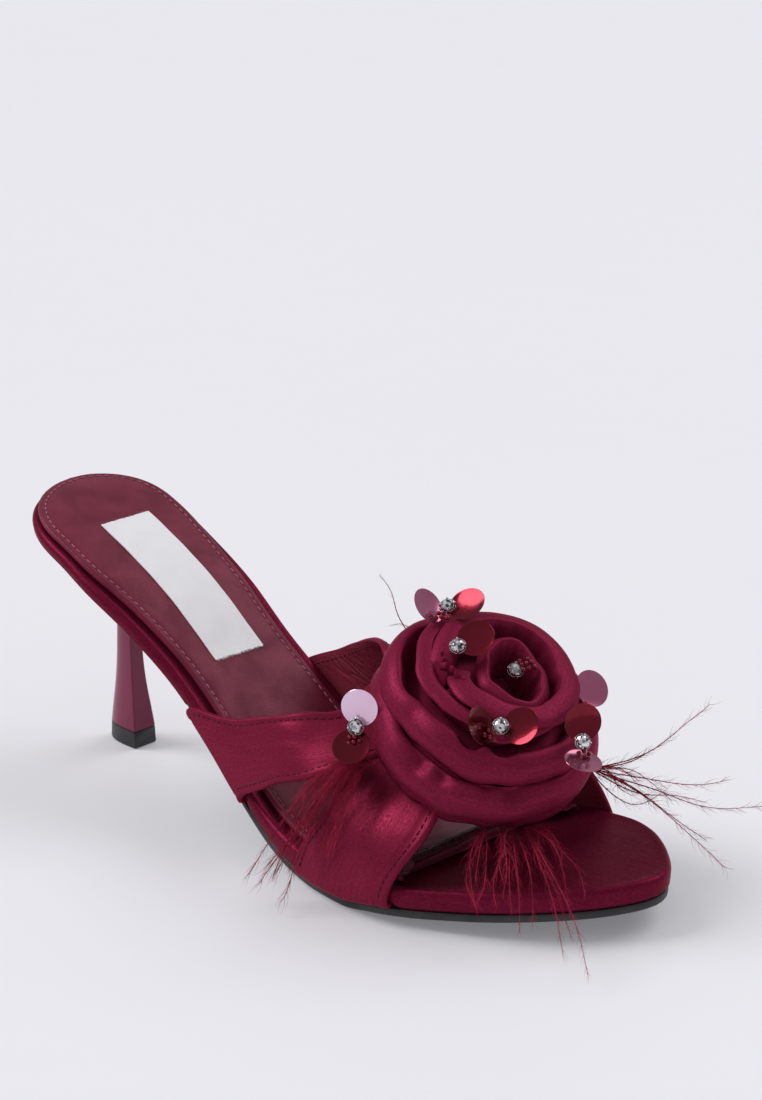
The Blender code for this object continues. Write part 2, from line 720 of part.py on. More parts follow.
# Feather bunches: root as radius share, angle and drop below the rim plane (mm), then plumes as
# tip offsets from the strap point under the rose (forward, inward, up) and the bow of the middle
# (outward, up), all mm
BUNCHES = {
    "near": ((0.97, -118, 4.1), (
        (-32, -59, -31, 0, 6), (-30, -58, -35, 0, 5), (-21, -57, -37, 0, 7), (-21, -53, -9, 0, 4),
        (-7, -52, -19, 0, 4), (-19, -51, -5, 0, 3))),
    "front": ((0.94, -38, 4.6), (
        (38, -40, -24, 0, 1), (41, -37, -24, 0, 1), (56, -42, -24, 0, 3), (73, -32, -36, 0, 6),
        (54, -13, -24, 0, 2))),
    "inner": ((1.012, 50, 1.0), (
        (43, 49, 11, 4, -3), (22, 43, -19, 0, 2), (32, 45, -21, 0, 4), (58, 54, -19, 0, -3),
        (35, 38, -21, 0, 2), (48, 42, -15, 0, -4), (60, 37, -31, 0, 4))),
    "back": ((1.06, 160, -3.0), (
        (-31, -7, 45, 7, 0), (-41, 6, 23, 3, 2), (-28, 15, 29, 6, 2))),
}


def tube(points, radii, sides):
    """Vertices and faces of a tapering tube with closed ends."""
    verts, faces = [], []
    ref = Vector((0.31, 0.22, 0.92)).normalized()
    for i, p in enumerate(points):
        d = (points[min(i + 1, len(points) - 1)] - points[max(i - 1, 0)]).normalized()
        a = d.cross(ref).normalized()
        b = d.cross(a).normalized()
        for k in range(sides):
            t = 2 * math.pi * k / sides
            verts.append(p + (a * math.cos(t) + b * math.sin(t)) * radii[i])
    for i in range(len(points) - 1):
        for k in range(sides):
            j = (k + 1) % sides
            faces.append((i * sides + k, i * sides + j, (i + 1) * sides + j, (i + 1) * sides + k))
    faces.append(tuple(range(sides)))
    faces.append(tuple(range((len(points) - 1) * sides, len(points) * sides)))
    return verts, faces


def make_feathers():
    """Bunches of thin plumes rooted under the rim of the rose."""
    for name, ((rs, deg, drop), plumes) in BUNCHES.items():
        a = math.radians(deg)
        root = rose_point(rs * ROSE_R, a, -drop * MM)
        knot_r = 1.1 * MM
        knot = [(0.1, -1.0), (0.75, -0.65), (1.0, 0.0), (0.75, 0.65), (0.1, 1.0)]
        rings = [[root + Vector((knot_r * r * math.cos(k * math.pi / 4),
                                 knot_r * r * math.sin(k * math.pi / 4), knot_r * z))
                  for k in range(8)] for r, z in knot]
        ob = loft(f"feathers_{name}", rings, "feather")
        radial = ROSE_U * math.cos(a) + ROSE_V * math.sin(a)
        outward = Vector((radial.x, radial.y, 0)).normalized()
        for n, (fx, fy, fz, bow_out, bow_up) in enumerate(plumes):
            tip = ROSE_FOOT + Vector((fx, fy, fz)) * MM
            mid = (root + tip) / 2 + (outward * bow_out + Vector((0, 0, bow_up))) * 2 * MM
            pts, radii = [], []
            for k in range(8):
                t = k / 7
                pts.append(root * (1 - t) ** 2 + mid * 2 * t * (1 - t) + tip * t**2)
                radii.append((0.42 + 0.25 * math.sin(math.pi * t) - 0.30 * t) * MM)
            v, f = tube(pts, radii, 4)
            cut(ob, solid(f"plume_{name}_{n}", v, f, None, cutter=True), "UNION")


def centre_all():
    """Move every part so the origin lies under the middle of the whole shoe."""
    pts = [v.co for ob in PARTS.objects for v in ob.data.vertices]
    lo = Vector([min(p[k] for p in pts) for k in range(3)])
    hi = Vector([max(p[k] for p in pts) for k in range(3)])
    shift = Vector((-(lo.x + hi.x) / 2, -(lo.y + hi.y) / 2, -lo.z))
    for ob in list(PARTS.objects) + list(CUTTERS.objects):
        ob.data.transform(Matrix.Translation(shift))


def main():
    """Build every part of the shoe."""
    footbed = make_footbed()
    make_outsole()
    make_sock()
    make_label()
    make_heel()
    make_heel_tip()
    make_straps(footbed)
    make_rose()
    make_groups()
    make_feathers()
    centre_all()


main()
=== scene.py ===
"""Dressed model of the right-foot satin mule: lasted sole, crossed straps, wound rose, sequins, feathers.

Sizes are in metres. Shapes are worked out in the pattern's own frame, where the back of the heel is at
x = 0, and are moved into the row frame by one shift when a piece's mesh is finished.
"""

import logging
import random
from collections.abc import Callable
from dataclasses import dataclass, field
from enum import Enum
from functools import cache
from math import atan, copysign, cos, exp, pi, radians, sin

import bmesh
import bpy
from bpy.types import Material, Mesh, Node, NodeSocket, NodeTree, Object
from mathutils import Matrix, Vector


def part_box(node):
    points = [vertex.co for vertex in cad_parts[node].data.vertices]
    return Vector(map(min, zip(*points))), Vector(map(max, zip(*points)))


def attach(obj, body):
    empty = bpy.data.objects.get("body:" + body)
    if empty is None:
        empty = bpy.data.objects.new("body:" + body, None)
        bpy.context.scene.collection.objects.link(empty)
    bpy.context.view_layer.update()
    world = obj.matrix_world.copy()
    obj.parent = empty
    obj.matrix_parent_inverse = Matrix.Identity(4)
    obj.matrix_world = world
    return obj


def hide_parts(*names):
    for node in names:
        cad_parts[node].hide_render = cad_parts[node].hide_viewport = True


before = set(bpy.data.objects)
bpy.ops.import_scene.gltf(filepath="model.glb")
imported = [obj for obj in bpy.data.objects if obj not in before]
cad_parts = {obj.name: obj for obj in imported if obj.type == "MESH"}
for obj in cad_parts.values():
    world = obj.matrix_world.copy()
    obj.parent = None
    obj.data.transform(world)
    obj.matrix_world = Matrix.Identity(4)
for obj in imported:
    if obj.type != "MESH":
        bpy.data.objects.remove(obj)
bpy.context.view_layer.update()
LOG = logging.getLogger("mule")

MM = 0.001
Table = tuple[tuple[float, ...], ...]
Colour = tuple[float, float, float, float]
Point = tuple[float, float]
GridUV = Callable[[int, int], Point]
Height = Callable[[float], float]
Inset = Callable[[float, int], float]


class Coords(Enum):
    """What a finish lays its pattern on."""

    UV = "UV"
    OBJECT = "Object"


class Pattern(Enum):
    """Small-scale pattern of a finish."""

    SATIN = "satin_weave"
    LEATHER = "leather_grain"
    CLOTH = "plain_weave"
    FINE = "fine_grain"
    # Painted facet reflections: random dark and bright cells for cut stones.
    FACETS = "cut_facets"


def read_table(table: Table, x: float, column: int = 1) -> float:
    """Smooth reading of a table by a Hermite curve through its rows.

    Args:
        table: Rows that rise in their first column.
        x: Where to read.
        column: Which column to read.

    Returns:
        The value at x, held at the table's ends.
    """
    if x <= table[0][0]:
        return table[0][column]
    if x >= table[-1][0]:
        return table[-1][column]
    i = max(k for k in range(len(table) - 1) if table[k][0] <= x)

    def step(k: int) -> float:
        """Slope between row k and the next."""
        return (table[k + 1][column] - table[k][column]) / (table[k + 1][0] - table[k][0])

    def slope(k: int) -> float:
        """Slope at row k that keeps the curve from overshooting.

        Args:
            k: Row number.

        Returns:
            The slope.
        """
        if k <= 0:
            return step(0)
        if k >= len(table) - 1:
            return step(len(table) - 2)
        a, b = step(k - 1), step(k)
        return 0.0 if a * b <= 0 else 2 * a * b / (a + b)

    w = table[i + 1][0] - table[i][0]
    t = (x - table[i][0]) / w
    return ((2 * t**3 - 3 * t**2 + 1) * table[i][column] + (t**3 - 2 * t**2 + t) * slope(i) * w
            + (3 * t**2 - 2 * t**3) * table[i + 1][column] + (t**3 - t**2) * slope(i + 1) * w)


def read_round(table: Table, degrees: float, column: int = 1) -> float:
    """Reading of a table whose first column is an angle that comes round on itself.

    Args:
        table: Rows of rising angle, all within one turn.
        degrees: The angle to read at.
        column: Which column to read.

    Returns:
        The value at the angle.
    """
    before = tuple((r[0] - 360.0, *r[1:]) for r in table[-2:])
    after = tuple((r[0] + 360.0, *r[1:]) for r in table[:2])
    turned = (degrees - table[0][0]) % 360.0 + table[0][0]
    return read_table(before + table + after, turned, column)


def bump(x: float, centre: float, spread: float) -> float:
    """Soft bell of height one round a centre."""
    return exp(-(((x - centre) / spread) ** 2))


def smooth_line(points: list[Point], per: int) -> list[Point]:
    """Smooth open line through plane points.

    Args:
        points: Points that the line passes through.
        per: How many steps go between two of them.

    Returns:
        The points of the line.
    """
    out = []
    for i in range(len(points) - 1):
        p0, p1 = points[max(i - 1, 0)], points[i]
        p2, p3 = points[i + 1], points[min(i + 2, len(points) - 1)]
        for k in range(per):
            t = k / per
            out.append(tuple(
                0.5 * (2 * p1[a] + (p2[a] - p0[a]) * t
                       + (2 * p0[a] - 5 * p1[a] + 4 * p2[a] - p3[a]) * t**2
                       + (3 * p1[a] - p0[a] - 3 * p2[a] + p3[a]) * t**3) for a in (0, 1)))
    out.append(points[-1])
    return out


@dataclass(frozen=True)
class Last:
    """The foot form that sole and straps are lasted over.

    Each table starts with shares of the length. The plan gives the outer and the inner half width
    by the ball's, the profile a height by the rise, the thickness a share of the board's, and the
    arch the straps' height by the rise.
    """

    length: float = 232.0 * MM
    rise: float = 77.6 * MM
    ball: float = 38.5 * MM
    toe_shift: float = 13.8 * MM
    board: float = 6.6 * MM
    outsole: float = 2.6 * MM
    sock: float = 2.2 * MM
    gap: float = 0.3 * MM
    strap: float = 1.6 * MM
    arch_foot: float = 2.6 * MM
    arch_shift: float = 3.0 * MM
    plan: Table = (
        (0.00, 0.70, 0.60), (0.06, 0.73, 0.59), (0.13, 0.77, 0.58), (0.19, 0.80, 0.56),
        (0.26, 0.77, 0.54), (0.34, 0.72, 0.51), (0.43, 0.755, 0.555), (0.50, 0.805, 0.63),
        (0.56, 0.873, 0.73), (0.62, 0.94, 0.855), (0.69, 0.99, 0.98), (0.73, 1.00, 1.036),
        (0.78, 0.955, 1.07), (0.84, 0.845, 1.035), (0.89, 0.775, 0.955), (0.93, 0.73, 0.85),
        (0.97, 0.70, 0.73), (1.00, 0.68, 0.66))
    profile: Table = (
        (0.00, 1.000), (0.06, 0.970), (0.12, 0.920), (0.19, 0.838), (0.26, 0.734), (0.34, 0.573),
        (0.41, 0.420), (0.47, 0.275), (0.53, 0.172), (0.58, 0.133), (0.63, 0.1186),
        (0.68, 0.1186), (0.73, 0.140), (0.79, 0.158), (0.86, 0.177), (0.93, 0.196), (1.00, 0.214))
    thickness: Table = ((0.00, 0.70), (0.26, 0.80), (0.43, 0.92), (0.60, 1.00), (1.00, 1.00))
    arch: Table = (
        (0.36, 0.41), (0.41, 0.43), (0.455, 0.50), (0.545, 0.58), (0.59, 0.515), (0.69, 0.41),
        (0.82, 0.335), (0.90, 0.28))

    def share(self, x: float) -> float:
        """Share of the length at x, kept on the last."""
        return min(max(x / self.length, 0.0), 1.0)

    def edge_y(self, x: float, side: int) -> float:
        """Edge of the board.

        Args:
            x: Place along the foot.
            side: -1 for the outer side, 1 for the inner.

        Returns:
            The edge's place across the foot.
        """
        u = self.share(x)
        half = read_table(self.plan, u, 1 if side < 0 else 2) * self.ball
        heel_r, toe_r, cap = 0.112, 0.181, 1.0
        swing_from, swing_run = 0.647, 0.353
        if u < heel_r:
            cap = max(0.0, 1 - ((heel_r - u) / heel_r) ** 2.1) ** 0.5
        if u > 1 - toe_r:
            cap = max(0.0, 1 - ((u - 1 + toe_r) / toe_r) ** 2.1) ** 0.55
        return self.toe_shift * max(0.0, (u - swing_from) / swing_run) ** 2 + side * half * cap

    def spine_y(self, x: float) -> float:
        """Middle of the board at x."""
        return (self.edge_y(x, -1) + self.edge_y(x, 1)) / 2

    def top_z(self, x: float) -> float:
        """Height of the board's upper face."""
        return read_table(self.profile, self.share(x)) * self.rise

    def under_z(self, x: float) -> float:
        """Height of the board's lower face."""
        return max(self.top_z(x) - read_table(self.thickness, self.share(x)) * self.board,
                   self.outsole)

    def arch_point(self, x: float, share: float, out: float = 0.0) -> Vector:
        """Point of the straps' middle face.

        Args:
            x: Place along the foot.
            share: Way over the foot, 0 at the outer edge and 1 at the inner.
            out: How far the face is moved outwards.

        Returns:
            The point.
        """
        lo = self.edge_y(x, -1) - self.gap - self.strap / 2 - out
        hi = self.edge_y(x, 1) + self.gap + self.strap / 2 + out
        foot = self.under_z(x) + self.arch_foot
        a = pi * share
        # Higher towards the inner edge and squarer towards the outer one.
        crown = read_table(self.arch, x / self.length) * self.rise * (1 - 0.10 * cos(a))
        high = self.top_z(x) + crown - foot + out
        power = 0.95 - 0.18 * (0.5 + 0.5 * cos(a))
        c = copysign(abs(cos(a)) ** power, cos(a))
        s = max(abs(sin(a)), 1e-9) ** power
        return Vector((x, (lo + hi) / 2 + self.arch_shift * sin(a) ** 2
                       - (hi - lo) / 2 * c, foot + high * s))

    def strap_z(self, x: float, y: float, out: float = 0.0) -> float:
        """Height of the straps' middle face over a plan point.

        Args:
            x: Place along the foot.
            y: Place across the foot.
            out: How far the face is moved outwards.

        Returns:
            The height.
        """
        lo, hi = 0.02, 0.98
        for _ in range(22):
            mid = (lo + hi) / 2
            lo, hi = (mid, hi) if self.arch_point(x, mid, out).y < y else (lo, mid)
        return self.arch_point(x, (lo + hi) / 2, out).z

    def outline(self, steps: int, start: float = 0.0, end: float = 1.0) -> list[Vector]:
        """Plan points of the board, along the outer side to the toe and back along the inner.

        Args:
            steps: How many steps go along each side.
            start: Share of the length where the loop starts.
            end: Share of the length where it ends.

        Returns:
            The points, without doubles.
        """
        shares = [0.62 * (0.5 - 0.5 * cos(pi * k / steps)) + 0.38 * k / steps
                  for k in range(steps + 1)]
        xs = [(start + (end - start) * m) * self.length for m in shares]
        loop = [Vector((x, self.edge_y(x, -1), 0)) for x in xs]
        loop += [Vector((x, self.edge_y(x, 1), 0)) for x in reversed(xs)]
        return [p for i, p in enumerate(loop) if (p - loop[i - 1]).length > 1e-6]


UP = Vector((0, 0, 1))
LAST = Last()
SHIFT = Vector((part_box("footbed")[0].x,
                (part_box("heel_tip")[0].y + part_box("heel_tip")[1].y) / 2 + 0.4 * MM, 0.0))


class Shell:
    """Collects grids of points into one mesh with UVs in metres."""

    def __init__(self) -> None:
        """Start empty."""
        self.verts: list[Vector] = []
        self.faces: list[tuple[int, ...]] = []
        self.uvs: list[list[Point]] = []
        self.slots: list[int] = []

    def grid(self, rows: list[list[Vector]], uv: GridUV, wrap: bool = False,
             loop: bool = False, slot: Callable[[int, int], int] = lambda r, c: 0) -> None:
        """Add a sheet of quads.

        Args:
            rows: Points, row by row, all rows equally long.
            uv: Gives the UV of row r, column c; c runs one past the end when wrapped.
            wrap: Whether each row closes on itself.
            loop: Whether the last row joins the first.
            slot: Gives a quad's material slot.
        """
        first, n, m = len(self.verts), len(rows[0]), len(rows)
        for row in rows:
            self.verts += row
        for r in range(m if loop else m - 1):
            for c in range(n if wrap else n - 1):
                r2, c2 = (r + 1) % m, (c + 1) % n
                self.faces.append(tuple(first + a * n + b for a, b in
                                        ((r, c), (r, c2), (r2, c2), (r2, c))))
                self.uvs.append([uv(r, c), uv(r, c + 1), uv(r + 1, c + 1), uv(r + 1, c)])
                self.slots.append(slot(r, c))

    def cap(self, row: list[Vector], slot: int = 0) -> None:
        """Close a ring of points with one face.

        Args:
            row: The ring's points.
            slot: The face's material slot.
        """
        first = len(self.verts)
        self.verts += row
        self.faces.append(tuple(range(first, first + len(row))))
        self.uvs.append([(p.x, p.y) for p in row])
        self.slots.append(slot)

    def tube(self, rows: list[list[Vector]], uv: GridUV,
             slot: Callable[[int, int], int] = lambda r, c: 0) -> None:
        """Add rings of points as a tube that is closed at both ends.

        Args:
            rows: The rings.
            uv: Gives the UV of ring r, point c.
            slot: Gives a quad's material slot.
        """
        self.grid(rows, uv, wrap=True, slot=slot)
        self.cap(rows[0])
        self.cap(rows[-1])

    def finish(self, name: str, *finishes: "Finish", smooth: bool = True,
               sharp: float = 0.0) -> Object:
        """Turn what was collected into an object in the row frame.

        Args:
            name: The object's name.
            finishes: One finish for each slot.
            smooth: Whether faces are shaded smooth.
            sharp: Angle above which edges stay sharp, in degrees, or 0 for none.

        Returns:
            The object, at the origin and with outward faces.
        """
        mesh = bpy.data.meshes.new(name)
        mesh.from_pydata([tuple(v + SHIFT) for v in self.verts], [], self.faces)
        layer = mesh.uv_layers.new(name="UVMap")
        for poly, uvs, slot in zip(mesh.polygons, self.uvs, self.slots):
            poly.material_index = slot
            for loop, uv in zip(poly.loop_indices, uvs):
                layer.data[loop].uv = uv
        for finish in finishes:
            mesh.materials.append(finish.build())
        face_out(mesh)
        return place(name, mesh, smooth, sharp)


def even_uv(across: float, up: float) -> GridUV:
    """UVs that grow by so many mm from point to point and from row to row."""
    return lambda r, c: (c * across * MM, r * up * MM)


def turned(middle: Vector, spin: Matrix, profile: Table, radius: float, up: float, sides: int,
           twist: float = 0.0) -> list[list[Vector]]:
    """Rings of a turned form.

    Args:
        middle: Where the form's origin goes.
        spin: Turn from upright to where the form faces.
        profile: Each ring's share of the radius, and its height.
        radius: The form's radius.
        up: Unit of the heights.
        sides: Points in a ring.
        twist: Part of a side by which each ring is turned past the one before.

    Returns:
        The rings.
    """
    rings = []
    for k, (share, z) in enumerate(profile):
        angles = [2 * pi * (i + twist * k) / sides for i in range(sides)]
        rings.append([middle + spin @ Vector((radius * share * cos(a),
                                              radius * share * sin(a), z * up))
                      for a in angles])
    return rings


def face_out(mesh: Mesh) -> None:
    """Join points that coincide and turn all faces outwards.

    Args:
        mesh: The mesh to mend.
    """
    bm = bmesh.new()
    bm.from_mesh(mesh)
    bmesh.ops.remove_doubles(bm, verts=bm.verts, dist=2e-6)
    bmesh.ops.dissolve_degenerate(bm, edges=bm.edges, dist=1e-7)
    bmesh.ops.recalc_face_normals(bm, faces=bm.faces)
    bm.to_mesh(mesh)
    bm.free()


def into_scene(name: str, data: object) -> Object:
    """Put data into the scene as an object at the origin."""
    obj = bpy.data.objects.new(name, data)
    bpy.context.scene.collection.objects.link(obj)
    return obj


def place(name: str, mesh: Mesh, smooth: bool = True,
          sharp: float = 0.0) -> Object:
    """Put a mesh into the scene as an object at the origin.

    Args:
        name: The object's name.
        mesh: Its mesh.
        smooth: Whether faces are shaded smooth.
        sharp: Angle above which edges stay sharp, in degrees, or 0 for none.

    Returns:
        The object.
    """
    for poly in mesh.polygons:
        poly.use_smooth = smooth
    if sharp:
        mesh.set_sharp_from_angle(angle=radians(sharp))
    return into_scene(name, mesh)


class Nodes:
    """Short way to add and join nodes in one tree."""

    def __init__(self, tree: NodeTree) -> None:
        """Work on one tree."""
        self.tree = tree

    def add(self, kind: str, values: dict | None = None, **props: object) -> Node:
        """Add a node.

        Args:
            kind: The node's type name.
            values: Input by name or number, as a value or a socket to link from.
            props: The node's own properties.

        Returns:
            The node.
        """
        node = self.tree.nodes.new(kind)
        for key, value in props.items():
            setattr(node, key, value)
        for key, value in (values or {}).items():
            if isinstance(value, NodeSocket):
                self.tree.links.new(value, node.inputs[key])
            else:
                node.inputs[key].default_value = value
        return node

    def maths(self, operation: str, a: object, b: object = 0.0) -> NodeSocket:
        """Add a maths node in a shader or geometry tree, and give its output."""
        return self.add("ShaderNodeMath", {0: a, 1: b}, operation=operation).outputs[0]

    def scaled(self, vector: object, by: object) -> NodeSocket:
        """Multiply a vector by another, part by part."""
        return self.add("ShaderNodeVectorMath", {0: vector, 1: by},
                        operation="MULTIPLY").outputs[0]

    def ranged(self, value: object, low: float, high: float, start: float = 0.0,
               end: float = 1.0) -> NodeSocket:
        """Map a value from start..end to low..high."""
        return self.add("ShaderNodeMapRange", {"Value": value, "From Min": start, "From Max": end,
                                               "To Min": low, "To Max": high}).outputs[0]

    def noise(self, vector: object, scale: object, detail: float,
              distortion: float = 0.0) -> NodeSocket:
        """Add a noise texture, and give its output."""
        return self.add("ShaderNodeTexNoise", {"Vector": vector, "Scale": scale, "Detail": detail,
                                               "Distortion": distortion}).outputs[0]

    def drawn(self, value: NodeSocket, points: list[Point]) -> NodeSocket:
        """Add a float curve through points.

        Args:
            value: What the curve reads.
            points: Points of the curve, from 0 to 1.

        Returns:
            The curve's output.
        """
        node = self.add("ShaderNodeFloatCurve", {"Value": value})
        line = node.mapping.curves[0].points
        for x, y in points[1:-1]:
            line.new(x, y)
        line[0].location, line[-1].location = points[0], points[-1]
        node.mapping.update()
        return node.outputs[0]

    def sweep(self, curve: NodeSocket, profile: NodeSocket) -> NodeSocket:
        """Sweep a profile along a curve, sized by the curve's radius and closed at both ends.

        Args:
            curve: The curve to follow.
            profile: The closed profile.

        Returns:
            The swept mesh.
        """
        swept = self.add("GeometryNodeCurveToMesh", {"Curve": curve, "Profile Curve": profile,
                                                     "Fill Caps": True})
        if "Scale" in swept.inputs:
            self.tree.links.new(self.add("GeometryNodeInputRadius").outputs[0],
                                swept.inputs["Scale"])
        return swept.outputs[0]

    def walk(self, come: Node) -> tuple[Node, Node, NodeSocket]:
        """Set points along the lines that come in, one pitch apart.

        Args:
            come: The tree's input node.

        Returns:
            The lines, the points and the rotation that follows the lines.
        """
        line = self.add("GeometryNodeMeshToCurve", {0: come.outputs["Geometry"]})
        points = self.add("GeometryNodeCurveToPoints", {
            "Curve": line.outputs[0], "Length": come.outputs["Pitch"]}, mode="LENGTH")
        turn = self.add("FunctionNodeAlignRotationToVector", {
            "Vector": points.outputs["Tangent"]}, axis="X")
        return line, points, turn.outputs[0]

    def turn_by(self, turn: NodeSocket, angles: NodeSocket) -> NodeSocket:
        """Turn a rotation further by angles in its own axes."""
        part = self.add("FunctionNodeEulerToRotation", {0: angles})
        return self.add("FunctionNodeRotateRotation", {0: turn, 1: part.outputs[0]},
                        rotation_space="LOCAL").outputs[0]

    def end(self, made: NodeSocket, come: Node) -> NodeTree:
        """End a geometry tree with real faces in the material that comes in.

        Args:
            made: What the tree has made.
            come: The tree's input node.

        Returns:
            The tree.
        """
        real = self.add("GeometryNodeRealizeInstances", {0: made})
        done = self.add("GeometryNodeSetMaterial", {"Geometry": real.outputs[0],
                                                    "Material": come.outputs["Material"]})
        self.add("NodeGroupOutput", {0: done.outputs[0]})
        return self.tree


PATTERN_IN = {"Vector": "Vector", "Scale": "Float"}
GEOMETRY = {"Geometry": "Geometry"}


def new_tree(name: str, kind: str, inputs: dict[str, str],
             outputs: dict[str, str]) -> tuple[Nodes, Node]:
    """New node tree with its sockets.

    Args:
        name: The tree's name.
        kind: Its type name.
        inputs: Name and kind of each input.
        outputs: Name and kind of each output.

    Returns:
        The tree's nodes, and the node that the inputs come from.
    """
    tree = bpy.data.node_groups.new(name, kind)
    for way, sockets in (("INPUT", inputs), ("OUTPUT", outputs)):
        for label, socket in sockets.items():
            tree.interface.new_socket(label, in_out=way, socket_type="NodeSocket" + socket)
    nodes = Nodes(tree)
    return nodes, nodes.add("NodeGroupInput")


@cache
def pattern_group(pattern: Pattern) -> NodeTree:
    """Shader group of a small-scale pattern, made once: Vector and Scale in, Height and Tone out.

    Args:
        pattern: Which pattern.

    Returns:
        The group.
    """
    nodes, come = new_tree(pattern.value, "ShaderNodeTree", PATTERN_IN,
                           {"Height": "Float", "Tone": "Float"})
    vector, scale = come.outputs["Vector"], come.outputs["Scale"]

    def noise(stretch: tuple[float, float, float], times: float, detail: float,
              distortion: float = 0.0) -> NodeSocket:
        """Noise on the stretched vector.

        Args:
            stretch: Factor on each axis.
            times: Factor on the group's scale.
            detail: Number of octaves.
            distortion: How far the noise is bent.

        Returns:
            The noise's output.
        """
        return nodes.noise(nodes.scaled(vector, stretch), nodes.maths("MULTIPLY", scale, times),
                           detail, distortion)

    if pattern is Pattern.SATIN:
        fine = noise((0.30, 1.0, 1.0), 1.0, 2.0)
        slub = noise((0.06, 1.0, 1.0), 0.35, 2.0)
        height = nodes.maths("ADD", nodes.maths("MULTIPLY", fine, 0.7),
                             nodes.maths("MULTIPLY", slub, 0.3))
        tone = nodes.ranged(height, 0.0, 1.0, 0.36, 0.64)
    elif pattern is Pattern.LEATHER:
        cells = nodes.add("ShaderNodeTexVoronoi", {"Vector": vector, "Scale": scale},
                          feature="DISTANCE_TO_EDGE").outputs["Distance"]
        pebble = nodes.ranged(cells, 0.0, 1.0, 0.0, 0.35)
        height = nodes.maths("ADD", nodes.maths("MULTIPLY", pebble, 0.6),
                             nodes.maths("MULTIPLY", noise((1, 1, 1), 0.5, 4.0, 0.6), 0.4))
        tone = nodes.ranged(noise((1, 1, 1), 0.06, 4.0, 0.5), 0.0, 1.0, 0.35, 0.65)
    elif pattern is Pattern.CLOTH:
        warp, weft = (nodes.add("ShaderNodeTexWave", {
            "Vector": vector, "Scale": scale, "Distortion": 0.4, "Detail": 1.0},
            bands_direction=way).outputs["Fac"] for way in "XY")
        height = nodes.maths("MAXIMUM", warp, weft)
        tone = nodes.ranged(noise((1, 1, 1), 0.15, 3.0), 0.0, 1.0, 0.3, 0.7)
    elif pattern is Pattern.FACETS:
        # Random dark and near-white cells: painted reflections in place of the facets' glints.
        cells = nodes.add("ShaderNodeTexVoronoi", {"Vector": vector, "Scale": scale})
        height = nodes.add("ShaderNodeSeparateXYZ", {0: cells.outputs["Color"]}).outputs[0]
        tone = nodes.ranged(height, -0.4, 1.4)
    else:
        height = noise((1, 1, 1), 1.0, 4.0)
        tone = nodes.ranged(noise((1, 1, 1), 0.12, 3.0), 0.0, 1.0, 0.35, 0.65)
    nodes.add("NodeGroupOutput", {"Height": height, "Tone": tone})
    return nodes.tree


@cache
def crease_group() -> NodeTree:
    """Shader group of soft drawn creases, made once: Vector and Scale in, Height and Mask out.

    Returns:
        The group.
    """
    nodes, come = new_tree("soft_creases", "ShaderNodeTree", PATTERN_IN,
                           {"Height": "Float", "Mask": "Float"})
    vector, scale = come.outputs["Vector"], come.outputs["Scale"]
    folds = nodes.noise(nodes.scaled(vector, (1.0, 0.45, 1.0)), scale, 2.0, 0.9)
    away = nodes.maths("ABSOLUTE", nodes.maths("SUBTRACT", folds, 0.5))
    patches = nodes.noise(vector, nodes.maths("MULTIPLY", scale, 0.21), 1.0)
    mask = nodes.ranged(patches, 0.0, 1.0, 0.45, 0.62)
    height = nodes.maths("MULTIPLY", nodes.ranged(away, 0.0, 1.0, 0.0, 0.12), mask)
    nodes.add("NodeGroupOutput", {"Height": height, "Mask": mask})
    return nodes.tree


@dataclass(frozen=True)
class Finish:
    """A surface finish: two tones, a roughness range, a small pattern and soft creases.

    The pattern and the creases each have a scale and a depth. The sockets are further values of
    the surface shader, by name.
    """

    name: str
    dark: Colour
    light: Colour
    rough: tuple[float, float] = (0.35, 0.5)
    pattern: Pattern = Pattern.FINE
    coords: Coords = Coords.OBJECT
    scale: float = 1500.0
    depth: float = 0.05 * MM
    crease_scale: float = 60.0
    crease_depth: float = 0.0
    sockets: tuple[tuple[str, object], ...] = ()

    def build(self) -> Material:
        """Make the material, or give the one already made.

        Returns:
            The material.
        """
        known = bpy.data.materials.get(self.name)
        if known:
            return known
        mat = bpy.data.materials.new(self.name)
        mat.use_nodes = True
        nodes = Nodes(mat.node_tree)
        shader = mat.node_tree.nodes["Principled BSDF"]
        for socket, value in self.sockets:
            shader.inputs[socket].default_value = value
        spot = nodes.add("ShaderNodeTexCoord").outputs[self.coords.value]
        group = nodes.add("ShaderNodeGroup", {"Vector": spot, "Scale": self.scale},
                          node_tree=pattern_group(self.pattern))
        cloud = nodes.noise(spot, 55.0, 3.0)
        mixed = nodes.maths("ADD", nodes.maths("MULTIPLY", group.outputs["Tone"], 0.6),
                            nodes.maths("MULTIPLY", cloud, 0.4))
        ramp = nodes.add("ShaderNodeValToRGB", {"Fac": mixed})
        for element, colour, share in zip(ramp.color_ramp.elements, (self.dark, self.light),
                                          (0.15, 0.85)):
            element.color, element.position = colour, share
        normal = nodes.add("ShaderNodeBump", {"Height": group.outputs["Height"], "Strength": 1.0,
                                              "Distance": self.depth})
        if self.crease_depth:
            creases = nodes.add("ShaderNodeGroup", {"Vector": spot, "Scale": self.crease_scale},
                                node_tree=crease_group())
            normal = nodes.add("ShaderNodeBump", {
                "Height": creases.outputs["Height"], "Strength": 1.0,
                "Distance": self.crease_depth, "Normal": normal.outputs[0]})
        rough = nodes.ranged(mixed, self.rough[1], self.rough[0], 0.2, 0.8)
        for name, socket in (("Base Color", ramp.outputs["Color"]), ("Roughness", rough),
                             ("Normal", normal.outputs[0])):
            mat.node_tree.links.new(socket, shader.inputs[name])
        return mat


